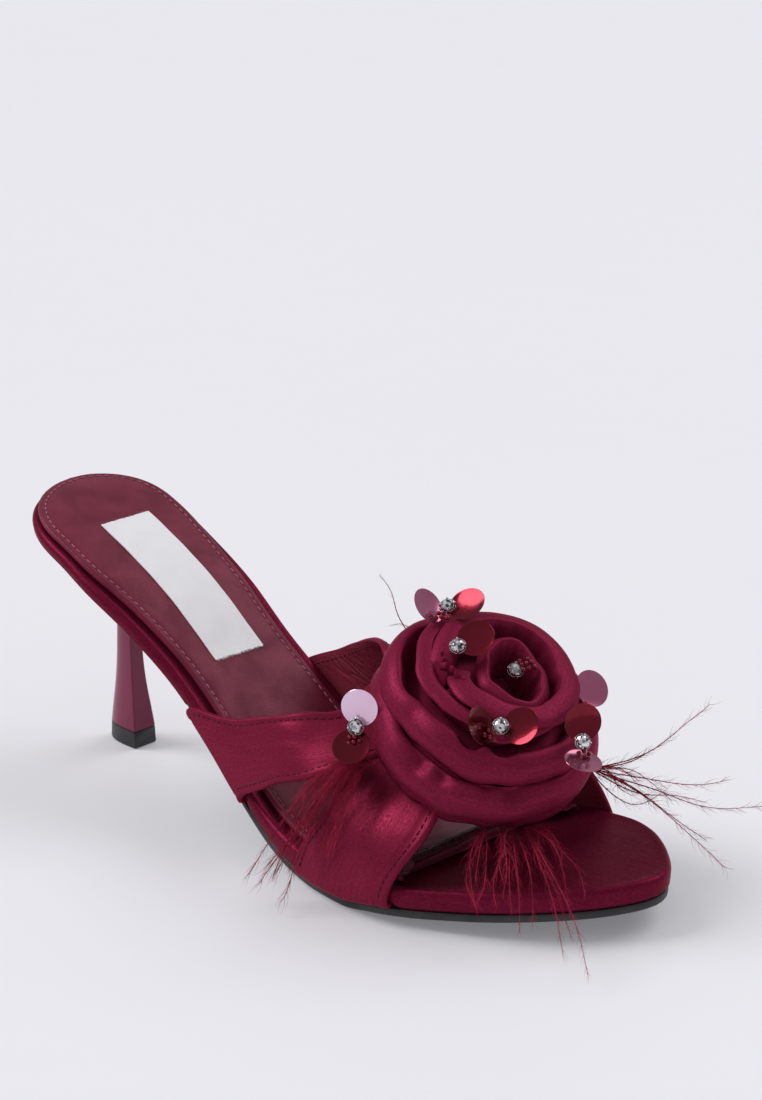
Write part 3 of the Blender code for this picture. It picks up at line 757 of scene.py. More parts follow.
ROSY: Colour = (1.0, 0.30, 0.45, 1.0)
SATIN_SHEEN = (("Metallic", 0.42), ("Specular IOR Level", 0.08), ("Specular Tint", ROSY))
# The board's own burgundy satin, set darker than the straps' copy as painted shade for the shaded toe and
# board side.
SATIN = Finish("satin_board_painted_shade", (0.108, 0.005, 0.021, 1), (0.180, 0.010, 0.038, 1), (0.34, 0.48),
               Pattern.SATIN, Coords.OBJECT, 2600.0, 0.08 * MM, sockets=SATIN_SHEEN)
SATIN_STRAP = Finish("satin_strap", (0.150, 0.009, 0.029, 1), (0.255, 0.018, 0.053, 1),
                     (0.34, 0.48), Pattern.SATIN, Coords.UV, 3400.0, 0.07 * MM, 45.0, 0.06 * MM,
                     sockets=SATIN_SHEEN)
SATIN_ROSE = Finish("satin_petals", (0.158, 0.010, 0.034, 1), (0.255, 0.018, 0.058, 1),
                    (0.42, 0.56), Pattern.SATIN, Coords.UV, 3400.0, 0.07 * MM, 70.0, 0.08 * MM,
                    sockets=SATIN_SHEEN)
LEATHER = Finish("sock_leather_grain", (0.125, 0.009, 0.026, 1), (0.190, 0.018, 0.044, 1),
                 (0.40, 0.50), Pattern.LEATHER, Coords.OBJECT, 1500.0, 0.05 * MM, 50.0, 0.04 * MM,
                 (("Specular IOR Level", 0.33), ("Specular Tint", (1.0, 0.45, 0.58, 1.0))))
LINING = Finish("lining_leather", (0.205, 0.020, 0.042, 1), (0.320, 0.040, 0.072, 1),
                (0.28, 0.40), Pattern.LEATHER, Coords.UV, 1100.0, 0.12 * MM, 160.0, 0.30 * MM,
                (("Specular IOR Level", 0.60), ("Specular Tint", (1.0, 0.55, 0.65, 1.0))))
RUBBER = Finish("sole_black", (0.013, 0.013, 0.015, 1), (0.021, 0.021, 0.024, 1), (0.42, 0.55),
                scale=900.0, depth=0.10 * MM)
LACQUER = Finish("heel_gloss", (0.175, 0.020, 0.054, 1), (0.210, 0.028, 0.068, 1), (0.18, 0.28),
                 scale=500.0, depth=0.01 * MM,
                 sockets=(("Coat Weight", 0.12), ("Coat Roughness", 0.10),
                          ("Specular IOR Level", 0.30), ("Specular Tint", (1.0, 0.6, 0.75, 1.0))))
LABEL = Finish("label_weave", (0.93, 0.92, 0.94, 1), (0.98, 0.97, 0.99, 1), (0.7, 0.9),
               Pattern.CLOTH, Coords.UV, 1100.0, 0.04 * MM, 90.0, 0.03 * MM,
               (("Sheen Weight", 0.2),))
THREAD = Finish("thread", (0.30, 0.050, 0.110, 1), (0.42, 0.085, 0.165, 1), (0.5, 0.7),
                scale=4000.0, depth=0.04 * MM, sockets=(("Sheen Weight", 0.5),))
THREAD_DARK = Finish("thread_dark", (0.060, 0.004, 0.014, 1), (0.110, 0.008, 0.026, 1),
                     (0.5, 0.7), scale=4000.0, depth=0.04 * MM,
                     sockets=(("Specular IOR Level", 0.2),))
FOIL_RED = Finish("sequin_red_foil", (0.135, 0.003, 0.012, 1), (0.215, 0.006, 0.022, 1),
                  (0.10, 0.17), scale=300.0, depth=0.02 * MM,
                  sockets=(("Metallic", 0.90), ("Coat Weight", 0.25)))
FOIL_PALE = Finish("sequin_pale_foil", (0.78, 0.50, 0.68, 1), (0.88, 0.66, 0.84, 1),
                   (0.12, 0.20), scale=300.0, depth=0.02 * MM,
                   sockets=(("Metallic", 0.55), ("Coat Weight", 0.6)))
FOIL_PINK = Finish("sequin_pink_foil", (0.40, 0.095, 0.18, 1), (0.50, 0.14, 0.25, 1),
                   (0.12, 0.20), scale=300.0, depth=0.02 * MM,
                   sockets=(("Metallic", 0.75), ("Coat Weight", 0.4)))
# Clear stone whose dark and near-white cells are painted reflections of its facets.
CRYSTAL_PAINTED_GLINTS = Finish("cut_stone_painted_glints", (0.03, 0.028, 0.032, 1), (0.96, 0.96, 1.0, 1), (0.02, 0.05),
                 Pattern.FACETS, Coords.OBJECT, 1150.0, 0.0,
                 sockets=(("Metallic", 0.55), ("Coat Weight", 1.0)))
SILVER = Finish("claw_metal", (0.55, 0.54, 0.54, 1), (0.72, 0.71, 0.70, 1), (0.18, 0.30),
                scale=1800.0, depth=0.02 * MM, sockets=(("Metallic", 1.0),))
GLASS_BEAD = Finish("bead_glass", (0.13, 0.002, 0.008, 1), (0.26, 0.004, 0.018, 1), (0.05, 0.12),
                    scale=700.0, depth=0.01 * MM,
                    sockets=(("Coat Weight", 0.35), ("Specular Tint", ROSY)))
PLUME = Finish("plume", (0.22, 0.006, 0.030, 1), (0.42, 0.016, 0.058, 1), (0.45, 0.65),
               scale=900.0, depth=0.01 * MM,
               sockets=(("Sheen Weight", 0.12), ("Sheen Tint", (1.0, 0.25, 0.4, 1.0)),
                        ("Specular IOR Level", 0.12)))


def run_tree(name: str, verts: list[Vector], edges: list[tuple[int, int]],
             tree: NodeTree, values: dict[str, object],
             along: list[float] | None = None) -> Object:
    """Run a geometry tree on lines and keep the result as a plain mesh.

    Args:
        name: The new object's name.
        verts: Points of the lines, in the pattern's frame.
        edges: Pairs of point numbers.
        tree: The geometry tree.
        values: Value of each named input.
        along: A number for each point, kept as the attribute "along".

    Returns:
        The object.
    """
    mesh = bpy.data.meshes.new(name + "_path")
    mesh.from_pydata([tuple(v + SHIFT) for v in verts], edges, [])
    if along:
        layer = mesh.attributes.new("along", "FLOAT", "POINT")
        layer.data.foreach_set("value", along)
    path = into_scene(name + "_path", mesh)
    modifier = path.modifiers.new("made", "NODES")
    modifier.node_group = tree
    for item in tree.interface.items_tree:
        if item.item_type == "SOCKET" and item.in_out == "INPUT" and item.name in values:
            modifier[item.identifier] = values[item.name]
    graph = bpy.context.evaluated_depsgraph_get()
    made = bpy.data.meshes.new_from_object(path.evaluated_get(graph), depsgraph=graph)
    made.name = name
    bpy.data.objects.remove(path)
    return place(name, made)


class SewnRun:
    """Geometry tree that sets rounded grains, such as stitches or beads, along lines."""

    @staticmethod
    @cache
    def build() -> NodeTree:
        """Make the tree once: Pitch, Length, Width, Lean, Seed and Material in.

        Returns:
            The tree.
        """
        nodes, come = new_tree("sewn_run", "GeometryNodeTree", {
            **GEOMETRY, **dict.fromkeys(("Pitch", "Length", "Width", "Lean"), "Float"),
            "Seed": "Int", "Material": "Material"}, GEOMETRY)
        _, points, turn = nodes.walk(come)
        grain = nodes.add("GeometryNodeMeshUVSphere", {"Segments": 8, "Rings": 6, "Radius": 0.5})
        size = nodes.add("ShaderNodeCombineXYZ", {
            0: come.outputs["Length"], 1: come.outputs["Width"], 2: come.outputs["Width"]})
        shaped = nodes.add("GeometryNodeTransform", {"Geometry": grain.outputs["Mesh"],
                                                     "Scale": size.outputs[0]})
        lean = nodes.add("FunctionNodeRandomValue", {
            "Min": (0.0, -1.0, -1.0), "Max": (0.0, 1.0, 1.0), "Seed": come.outputs["Seed"]},
            data_type="FLOAT_VECTOR")
        leaned = nodes.add("ShaderNodeVectorMath", {0: lean.outputs[0], 3: come.outputs["Lean"]},
                           operation="SCALE")
        copies = nodes.add("GeometryNodeInstanceOnPoints", {
            "Points": points.outputs["Points"], "Instance": shaped.outputs[0],
            "Rotation": nodes.turn_by(turn, leaned.outputs[0])})
        return nodes.end(copies.outputs[0], come)

    @classmethod
    def lay(cls, name: str, lines: list[list[Vector]], finish: Finish, pitch: float,
            length: float, width: float, lean: float = 0.05, seed: int = 3) -> Object:
        """Lay grains along lines.

        Args:
            name: The new object's name.
            lines: Each line's points, in the pattern's frame.
            finish: The grains' finish.
            pitch: Distance from one grain to the next.
            length: A grain's length along the line.
            width: A grain's width.
            lean: Greatest random turn, in radians.
            seed: Seed of the random turn.

        Returns:
            The grains as one object.
        """
        verts, edges = join_lines(lines)
        return run_tree(name, verts, edges, cls.build(), {
            "Pitch": pitch, "Length": length, "Width": width, "Lean": lean, "Seed": seed,
            "Material": finish.build()})


def join_lines(lines: list[list[Vector]]) -> tuple[list[Vector], list[tuple[int, int]]]:
    """Points and edges of several lines as one.

    Args:
        lines: Each line's points.

    Returns:
        All points, and pairs of point numbers.
    """
    verts: list[Vector] = []
    edges: list[tuple[int, int]] = []
    for line in lines:
        edges += [(len(verts) + k, len(verts) + k + 1) for k in range(len(line) - 1)]
        verts += line
    return verts, edges


class Barbs:
    """Geometry tree that grows fine curved barbs along quills."""

    @staticmethod
    @cache
    def build() -> NodeTree:
        """Make the tree once; the attribute "along" runs from 0 at a root to 1 at a tip.

        Returns:
            The tree.
        """
        nodes, come = new_tree("barbs", "GeometryNodeTree", {
            **GEOMETRY, **dict.fromkeys(("Pitch", "Root Length", "Tip Length", "Spread", "Roll",
                                         "Barb Radius", "Quill Radius"), "Float"),
            "Seed": "Int", "Material": "Material"}, GEOMETRY)
        line, points, turn = nodes.walk(come)
        along = nodes.add("GeometryNodeInputNamedAttribute", {"Name": "along"},
                          data_type="FLOAT").outputs[0]
        barb = nodes.add("GeometryNodeCurveQuadraticBezier", {
            "Resolution": 4, "Start": (0.0, 0.0, 0.0), "Middle": (0.45, 0.22, 0.03),
            "End": (1.0, 0.04, 0.10)})
        spot = nodes.add("GeometryNodeSplineParameter").outputs["Factor"]
        thin = nodes.add("GeometryNodeSetCurveRadius", {
            "Curve": barb.outputs[0], "Radius": nodes.ranged(spot, 1.0, 0.25)})
        ring = nodes.add("GeometryNodeCurvePrimitiveCircle", {
            "Resolution": 3, "Radius": come.outputs["Barb Radius"]})
        hair = nodes.sweep(thin.outputs[0], ring.outputs[0])

        def chance(low: float, high: float, extra: int) -> NodeSocket:
            """Random number on each point.

            Args:
                low: Lowest value.
                high: Highest value.
                extra: Added to the seed.

            Returns:
                The number's output.
            """
            seed = nodes.maths("ADD", come.outputs["Seed"], float(extra))
            made = nodes.add("FunctionNodeRandomValue", {"Seed": seed}, data_type="FLOAT")
            floats = [s for s in made.inputs if s.type == "VALUE" and s.name in ("Min", "Max")]
            for socket, value in zip(floats, (low, high)):
                socket.default_value = value
            return next(s for s in made.outputs if s.type == "VALUE")

        roll = nodes.add("ShaderNodeCombineXYZ", {
            0: nodes.maths("MULTIPLY", chance(-pi, pi, 1), come.outputs["Roll"])})
        sign = nodes.maths("SIGN", chance(-1.0, 1.0, 2))
        open_by = nodes.maths("MULTIPLY", nodes.maths("MULTIPLY", sign, come.outputs["Spread"]),
                              chance(0.6, 1.35, 3))
        spread = nodes.add("ShaderNodeCombineXYZ", {2: open_by})
        for angle in (roll, spread):
            turn = nodes.turn_by(turn, angle.outputs[0])
        fall = nodes.maths("MULTIPLY", along, nodes.maths(
            "SUBTRACT", come.outputs["Tip Length"], come.outputs["Root Length"]))
        size = nodes.maths("MULTIPLY", nodes.maths("ADD", come.outputs["Root Length"], fall),
                           chance(0.45, 1.15, 4))
        copies = nodes.add("GeometryNodeInstanceOnPoints", {
            "Points": points.outputs["Points"], "Instance": hair, "Rotation": turn,
            "Scale": nodes.add("ShaderNodeCombineXYZ", {0: size, 1: size, 2: size}).outputs[0]})
        quill_ring = nodes.add("GeometryNodeCurvePrimitiveCircle", {
            "Resolution": 5, "Radius": come.outputs["Quill Radius"]})
        quill_line = nodes.add("GeometryNodeSetCurveRadius", {
            "Curve": line.outputs[0], "Radius": nodes.ranged(along, 1.0, 0.3)})
        quill = nodes.sweep(quill_line.outputs[0], quill_ring.outputs[0])
        both = nodes.add("GeometryNodeJoinGeometry")
        for part in (copies.outputs[0], quill):
            nodes.tree.links.new(part, both.inputs[0])
        return nodes.end(both.outputs[0], come)


def carry(obj: Object, slot: str, *nodes: str) -> Object:
    """Fix a piece to the shoe and report it.

    Args:
        obj: The piece.
        slot: Its material slot; not used.
        nodes: CAD nodes that it takes the place of.

    Returns:
        The piece.
    """
    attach(obj, "root")
    if nodes:
        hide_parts(*nodes)
    LOG.info("%s: %d faces", obj.name, len(obj.data.polygons))
    return obj


def inward(loop: list[Vector]) -> list[Vector]:
    """Vectors that move each corner of a plan loop in by one unit on both of its sides.

    Args:
        loop: Plan points.

    Returns:
        One vector for each point.
    """
    out = []
    for i, p in enumerate(loop):
        before = (p - loop[i - 1]).normalized()
        after = (loop[(i + 1) % len(loop)] - p).normalized()
        n1, n2 = Vector((-before.y, before.x, 0)), Vector((-after.y, after.x, 0))
        out.append((n1 + n2) / max(1 + n1.dot(n2), 0.6))
    return out


def plate(name: str, loop: list[Vector],
          rings: list[tuple[Inset, float, Height]],
          *finishes: Finish) -> Object:
    """Closed plate on a plan loop.

    Args:
        name: The object's name.
        loop: Plan points.
        rings: Each ring's inset by x and side, its scale towards the spine, and its height by x.
        finishes: The plate's finishes.

    Returns:
        The object.
    """
    normals = inward(loop)
    lo, hi = min(p.x for p in loop), max(p.x for p in loop)
    reach = 0.11 * LAST.length
    rows = []
    for inset, scale, height in rings:
        row = []
        for p, nrm in zip(loop, normals):
            q = p + nrm * inset(p.x, 1 if p.y > LAST.spine_y(p.x) else -1)
            sx = min(max(q.x, lo + reach), hi - reach)
            spine = Vector((sx, LAST.spine_y(sx), 0))
            q = spine + (q - spine) * scale
            row.append(Vector((q.x, q.y, height(q.x))))
        rows.append(row)
    run = [0.0]
    for i, p in enumerate(loop):
        run.append(run[-1] + (loop[(i + 1) % len(loop)] - p).length)
    shell = Shell()
    shell.grid(rows, lambda r, c: (run[min(c, len(run) - 1)], r * 2.0 * MM), wrap=True)
    return shell.finish(name, *finishes)


def level(value: float) -> Callable[..., float]:
    """A function that gives one value wherever it is read."""
    return lambda *at: value


@dataclass
class Sole:
    """Board, outsole, sock and label.

    The sock's inset is a share of its thickness by the share of the length. A row of under_strap
    holds where a strap starts and ends on the edge, as shares of the length, and on which side.
    """

    steps: int = 150
    roll: float = 2.1 * MM
    stitch_in: float = 2.3 * MM
    stitch_pitch: float = 2.6 * MM
    sock_end: float = 0.772
    sock_inset: Table = ((0.00, 0.75), (0.13, 0.95), (0.26, 1.75), (0.39, 2.05), (0.52, 2.0),
                         (1.00, 1.9))
    under_strap: Table = ((0.366, 0.477, -1), (0.601, 0.759, -1), (0.645, 0.806, 1),
                          (0.366, 0.483, 1))
    label_span: tuple[float, float] = (29.3 * MM, 81.7 * MM)
    label_half: float = 9.2 * MM
    label_centre: float = -3.06 * MM
    label_turn: float = -0.036

    def tucked(self, x: float, side: int) -> float:
        """How far a strap wraps under the board.

        Args:
            x: Place along the foot.
            side: -1 for the outer side, 1 for the inner.

        Returns:
            1 under a strap's middle, 0 away from it.
        """
        u = x / LAST.length
        best = 0.0
        for lo, hi, where in self.under_strap:
            if where == side:
                best = max(best, min(1.0, (u - lo + 0.008) / 0.006, (hi + 0.008 - u) / 0.006))
        return max(best, 0.0)

    def board(self) -> Object:
        """Satin-wrapped board with a rolled upper rim.

        Returns:
            The board.
        """
        top, under, gap = LAST.top_z, LAST.under_z, LAST.gap
        rings = [(level(0), s, lambda x: top(x) - 0.4 * MM) for s in (0.0, 0.3, 0.6, 0.80)]
        rings.append((level(3.4 * MM), 1.0, lambda x: top(x) - 0.4 * MM))
        rings.append((level(2.5 * MM), 1.0, lambda x: top(x) - 0.18 * MM))
        for k in range(7):
            a = pi / 2 * k / 6
            rings.append((level(1.7 * MM * (1 - sin(a))), 1.0,
                          lambda x, a=a: top(x) - self.roll * (1 - cos(a))))
        rings.append((level(0.05 * MM), 1.0, lambda x: (top(x) + under(x)) / 2))
        rings.append((lambda x, s: 0.12 * MM + 0.1 * MM * self.tucked(x, s), 1.0,
                      lambda x: under(x) + 2.3 * MM))
        rings.append((lambda x, s: 0.25 * MM + 1.9 * MM * self.tucked(x, s), 1.0,
                      lambda x: under(x) + 1.1 * MM))
        rings.append((lambda x, s: 0.9 * MM + 2.2 * MM * self.tucked(x, s), 1.0,
                      lambda x: under(x) + gap))
        rings += [(level(0), s, lambda x: under(x) + gap) for s in (0.85, 0.5, 0.0)]
        return plate("board_satin", LAST.outline(self.steps), rings, SATIN)

    def tread(self) -> Object:
        """Thin black outsole, flat under the ball.

        Returns:
            The outsole.
        """
        def lower(x: float) -> float:
            """Height of the tread."""
            return max(LAST.under_z(x) - LAST.outsole * (0.55 + 0.45 * min(
                1.0, x / (0.55 * LAST.length))), 0.0)

        def from_edge(amount: float) -> Inset:
            """Inset that grows by 2.4 mm towards the heel, where the sole is thin."""
            return lambda x, s: amount + 2.4 * MM * min(1.0, max(
                0.0, (0.40 - x / LAST.length) / 0.07))

        rings = [(level(0), s, LAST.under_z) for s in (0.0, 0.5, 0.80)]
        rings.append((from_edge(0.9 * MM), 1.0, LAST.under_z))
        rings.append((from_edge(0.65 * MM), 1.0, lambda x: LAST.under_z(x) - 0.25 * MM))
        for k in range(5):
            a = pi / 2 * k / 4
            rings.append((from_edge(0.7 * MM + 0.9 * MM * (1 - cos(a))), 1.0,
                          lambda x, a=a: lower(x) + 0.8 * MM * (1 - sin(a))))
        rings += [(level(0), s, lower) for s in (0.80, 0.5, 0.0)]
        return plate("outsole_black", LAST.outline(self.steps, 0.20, 1.0), rings, RUBBER)

    def inset(self, x: float) -> float:
        """Distance of the sock's edge from the board's edge."""
        return read_table(self.sock_inset, LAST.share(x)) * LAST.sock

    def sock(self) -> Object:
        """Padded leather sock with a turned edge and a stitched groove.

        Returns:
            The sock.
        """
        def base(x: float) -> float:
            """Height of the sock's lower face."""
            return LAST.top_z(x) + LAST.gap

        def at(more: float, up: float) -> tuple[Inset, float, Height]:
            """Ring at a distance in from the edge and a height over the base."""
            return (lambda x, s: self.inset(x) + more * MM, 1.0, lambda x: base(x) + up * MM)

        rings = [(level(0), s, base) for s in (0.0, 0.5, 0.76)]
        rings += [at(0.5, 0.0), at(0.12, 0.25), at(0.0, 0.8), at(0.1, 1.35), at(0.45, 1.72),
                  at(0.95, 1.92), at(1.5, 1.95), at(2.0, 1.78), at(2.3, 1.66), at(2.6, 1.78),
                  at(3.2, 1.98), at(4.2, 2.07), at(5.6, 2.14), at(7.4, 2.20)]
        rings += [(level(0), s, lambda x: base(x) + LAST.sock + 0.03 * MM)
                  for s in (0.45, 0.3, 0.15, 0.0)]
        return plate("sock_padded", LAST.outline(self.steps, 0.0, self.sock_end), rings, LEATHER)

    def sock_line(self, more: float, up: float) -> list[Vector]:
        """Line round the sock, open across its front.

        Args:
            more: Distance in from the edge.
            up: Height over the sock's lower face.

        Returns:
            The line's points.
        """
        loop = LAST.outline(self.steps, 0.0, self.sock_end)
        nrm = inward(loop)
        out, back = [], []
        for p, n in zip(loop, nrm):
            if p.x > self.sock_end * LAST.length - 1.0 * MM:
                continue
            q = p + n * (self.inset(p.x) + more)
            place_to = out if p.y < LAST.spine_y(p.x) else back
            place_to.append(Vector((q.x, q.y, LAST.top_z(q.x) + LAST.gap + up)))
        return list(reversed(out)) + list(reversed(back))

    def label_at(self, u: float, v: float) -> tuple[float, float, float]:
        """Point of the sock under the label.

        Args:
            u: Place along the label.
            v: Distance from its middle line.

        Returns:
            The point's coordinates.
        """
        middle = sum(self.label_span) / 2
        x = u - v * sin(self.label_turn)
        y = self.label_centre + v + (u - middle) * sin(self.label_turn)
        return x, y, LAST.top_z(x) + LAST.gap + LAST.sock

    def label(self) -> Object:
        """Bare cloth label with slightly uneven cut ends.

        Returns:
            The label.
        """
        nx, ny = 80, 28
        x0, x1 = self.label_span
        chance = random.Random(11)
        nick = [[0.25 * MM * chance.random() for _ in range(ny + 1)] for _ in (0, 1)]
        rows: list[list[Vector]] = []
        for up in (0.13 * MM, 0.48 * MM):
            for i in range(nx + 1):
                row = []
                for j in range(ny + 1):
                    u = x0 + (x1 - x0) * i / nx
                    u += nick[0][j] if i == 0 else -nick[1][j] if i == nx else 0.0
                    v = -self.label_half + 2 * self.label_half * j / ny
                    x, y, z = self.label_at(u, v)
                    wave = 0.05 * MM * sin(u / MM * 0.55 + v / MM * 0.2)
                    lift = 0.06 * MM * max(0.0, abs(2 * i / nx - 1) - 0.9) / 0.1
                    row.append(Vector((x, y, z + up + wave + lift)))
                rows.append(row)
        shell = Shell()
        lower, upper = rows[:nx + 1], rows[nx + 1:]

        def uv(r: int, c: int) -> Point:
            """UV in metres."""
            return (r * (x1 - x0) / nx, c * 2 * self.label_half / ny)

        shell.grid(lower, uv)
        shell.grid(upper, uv)
        for r in (0, nx):
            shell.grid([lower[r], upper[r]], uv)
        for c in (0, ny):
            shell.grid([[row[c] for row in lower], [row[c] for row in upper]], uv)
        return shell.finish("label_bare", LABEL, sharp=50)

    def fray(self) -> Object:
        """Short loose threads at both ends of the label.

        Returns:
            The threads.
        """
        lines, along = [], []
        for u in self.label_span:
            line = []
            for k in range(12):
                x, y, z = self.label_at(u, self.label_half * (-0.98 + 1.96 * k / 11))
                line.append(Vector((x, y, z + 0.34 * MM)))
                along.append(0.5)
            lines.append(line)
        verts, edges = join_lines(lines)
        return run_tree("label_fray", verts, edges, Barbs.build(), {
            "Pitch": 0.4 * MM, "Root Length": 0.9 * MM, "Tip Length": 0.9 * MM, "Spread": 1.45,
            "Roll": 0.0, "Barb Radius": 0.06, "Quill Radius": 0.04 * MM, "Seed": 5,
            "Material": LABEL.build()}, along)

    def build(self) -> None:
        """Build and dress the whole sole."""
        carry(self.board(), "satin", "footbed")
        carry(self.tread(), "sole_rubber", "outsole")
        sock = carry(self.sock(), "sock_leather", "sock")
        label = carry(self.label(), "label_cloth", "label")
        fray = carry(self.fray(), "label_cloth")
        x0, x1 = self.label_span
        line = self.sock_line(self.stitch_in, 1.84 * MM)
        carry(SewnRun.lay("sock_stitches", [line], THREAD, pitch=self.stitch_pitch,
                          length=2.1 * MM, width=0.42 * MM), "sock_leather")


@dataclass
class Heel:
    """Flared heel with flat faces in front and a rounded back, on a black top lift.

    A level holds a share of the height and the section's size there. The section's points stand
    ahead and across, by half the depth and half the width.
    """

    x: float = 26.9 * MM
    y: float = -0.4 * MM
    depth: float = 14.9 * MM
    width: float = 8.9 * MM
    tip: float = 5.3 * MM
    levels: Table = (
        (0.00, 0.97), (0.10, 0.85), (0.20, 0.725), (0.315, 0.62), (0.45, 0.56), (0.56, 0.54),
        (0.66, 0.60), (0.78, 0.86), (0.89, 1.30), (1.00, 1.90))
    section: Table = (
        (1.0, -0.86), (1.0, 0.86), (0.95, 0.98), (0.84, 1.0), (0.2, 1.0), (-0.12, 0.955),
        (-0.40, 0.86), (-0.64, 0.70), (-0.82, 0.50), (-0.95, 0.26), (-1.0, 0.0),
        (-0.95, -0.26), (-0.82, -0.50), (-0.64, -0.70), (-0.40, -0.86), (-0.12, -0.955),
        (0.2, -1.0), (0.84, -1.0), (0.95, -0.98))

    def ring(self, size: float, height: float) -> list[Vector]:
        """Section of one size at one height."""
        return [Vector((self.x + cx * self.depth / 2 * size,
                        self.y + cy * self.width / 2 * size, height))
                for cx, cy in self.section]

    def tree(self) -> NodeTree:
        """Geometry tree of the shaft: its section is swept up a line and swells by a curve.

        Returns:
            The tree.
        """
        nodes, come = new_tree("heel_shaft", "GeometryNodeTree", {
            **GEOMETRY, "Foot": "Vector", "Seat": "Vector", "Reach": "Float", "Dip": "Float",
            "Rise": "Float", "Material": "Material"}, GEOMETRY)
        section = nodes.add("GeometryNodeMeshToCurve", {0: come.outputs["Geometry"]})
        line = nodes.add("GeometryNodeCurvePrimitiveLine", {"Start": come.outputs["Foot"],
                                                            "End": come.outputs["Seat"]})
        fine = nodes.add("GeometryNodeResampleCurve", {"Curve": line.outputs[0], "Count": 72})
        swell = nodes.drawn(nodes.add("GeometryNodeSplineParameter").outputs["Factor"],
                            [(share, size / 2) for share, size in self.levels])
        sized = nodes.add("GeometryNodeSetCurveRadius", {
            "Curve": fine.outputs[0], "Radius": nodes.maths("MULTIPLY", swell, 2.0)})
        swept = nodes.sweep(sized.outputs[0], section.outputs[0])
        spot = nodes.add("GeometryNodeInputPosition").outputs[0]
        foot, seat = (nodes.add("ShaderNodeSeparateXYZ", {0: come.outputs[n]})
                      for n in ("Foot", "Seat"))
        here = nodes.add("ShaderNodeSeparateXYZ", {0: spot})
        tall = nodes.maths("SUBTRACT", seat.outputs[2], foot.outputs[2])
        share = nodes.maths("DIVIDE", nodes.maths("SUBTRACT", here.outputs[2],
                                                  foot.outputs[2]), tall)
        ahead = nodes.maths("DIVIDE", nodes.maths("SUBTRACT", here.outputs[0],
                                                  seat.outputs[0]), come.outputs["Reach"])
        low, high = self.seat_span()
        line_up = [((dx / self.reach() + 1) / 2, (z - low) / (high - low))
                   for dx, z in self.seat_line()]
        bent = nodes.drawn(nodes.ranged(ahead, 0.0, 1.0, -1.0, 1.0), line_up)
        lift = nodes.maths("ADD", come.outputs["Dip"],
                           nodes.maths("MULTIPLY", bent, come.outputs["Rise"]))
        moved = nodes.add("GeometryNodeSetPosition", {
            "Geometry": swept, "Offset": nodes.add("ShaderNodeCombineXYZ", {
                2: nodes.maths("MULTIPLY", lift, nodes.ranged(share, 0.0, 1.0, 0.6, 1.0))
            }).outputs[0]})
        return nodes.end(moved.outputs[0], come)

    def reach(self) -> float:
        """How far the seat reaches ahead of and behind the heel's middle."""
        return self.depth / 2 * self.levels[-1][1]

    def seat_line(self) -> list[Point]:
        """Heights of the board's underside over the heel's middle, along the seat."""
        return [(dx * self.reach(), LAST.under_z(self.x + dx * self.reach())
                 - LAST.under_z(self.x)) for dx in (-1.0, -0.66, -0.33, 0.0, 0.33, 0.66, 1.0)]

    def seat_span(self) -> tuple[float, float]:
        """Lowest and highest of the seat's heights."""
        heights = [z for _, z in self.seat_line()]
        return min(heights), max(heights)

    def shaft(self) -> Object:
        """Lacquered shaft, whose seat follows the board's underside.

        Returns:
            The shaft.
        """
        ring = [p - Vector((self.x, self.y, 0)) - SHIFT for p in self.ring(1.0, 0.0)]
        count = len(ring)
        low, high = self.seat_span()
        foot = Vector((self.x, self.y, self.tip + LAST.gap)) + SHIFT
        seat = Vector((self.x, self.y, LAST.under_z(self.x))) + SHIFT
        shaft = run_tree("heel_shaft", ring, [(k, (k + 1) % count) for k in range(count)],
                         self.tree(), {"Foot": list(foot), "Seat": list(seat),
                                       "Reach": self.reach(), "Dip": low, "Rise": high - low,
                                       "Material": LACQUER.build()})
        face_out(shaft.data)
        shaft.data.set_sharp_from_angle(angle=radians(32))
        return shaft

    def top_lift(self) -> Object:
        """Black top lift that stands on the floor.

        Returns:
            The top lift.
        """
        shell = Shell()
        rows = [self.ring(size, z) for size, z in (
            (0.95, 0.0), (0.985, 0.15 * MM), (1.0, 0.5 * MM), (0.985, 2.5 * MM),
            (0.97, self.tip - 0.3 * MM), (0.95, self.tip))]
        shell.tube(rows, even_uv(2.0, 1.0))
        return shell.finish("heel_lift", RUBBER, sharp=32)

    def build(self) -> None:
        """Build and dress the heel."""
        carry(self.shaft(), "heel_lacquer", "heel")
        carry(self.top_lift(), "sole_rubber", "heel_tip")


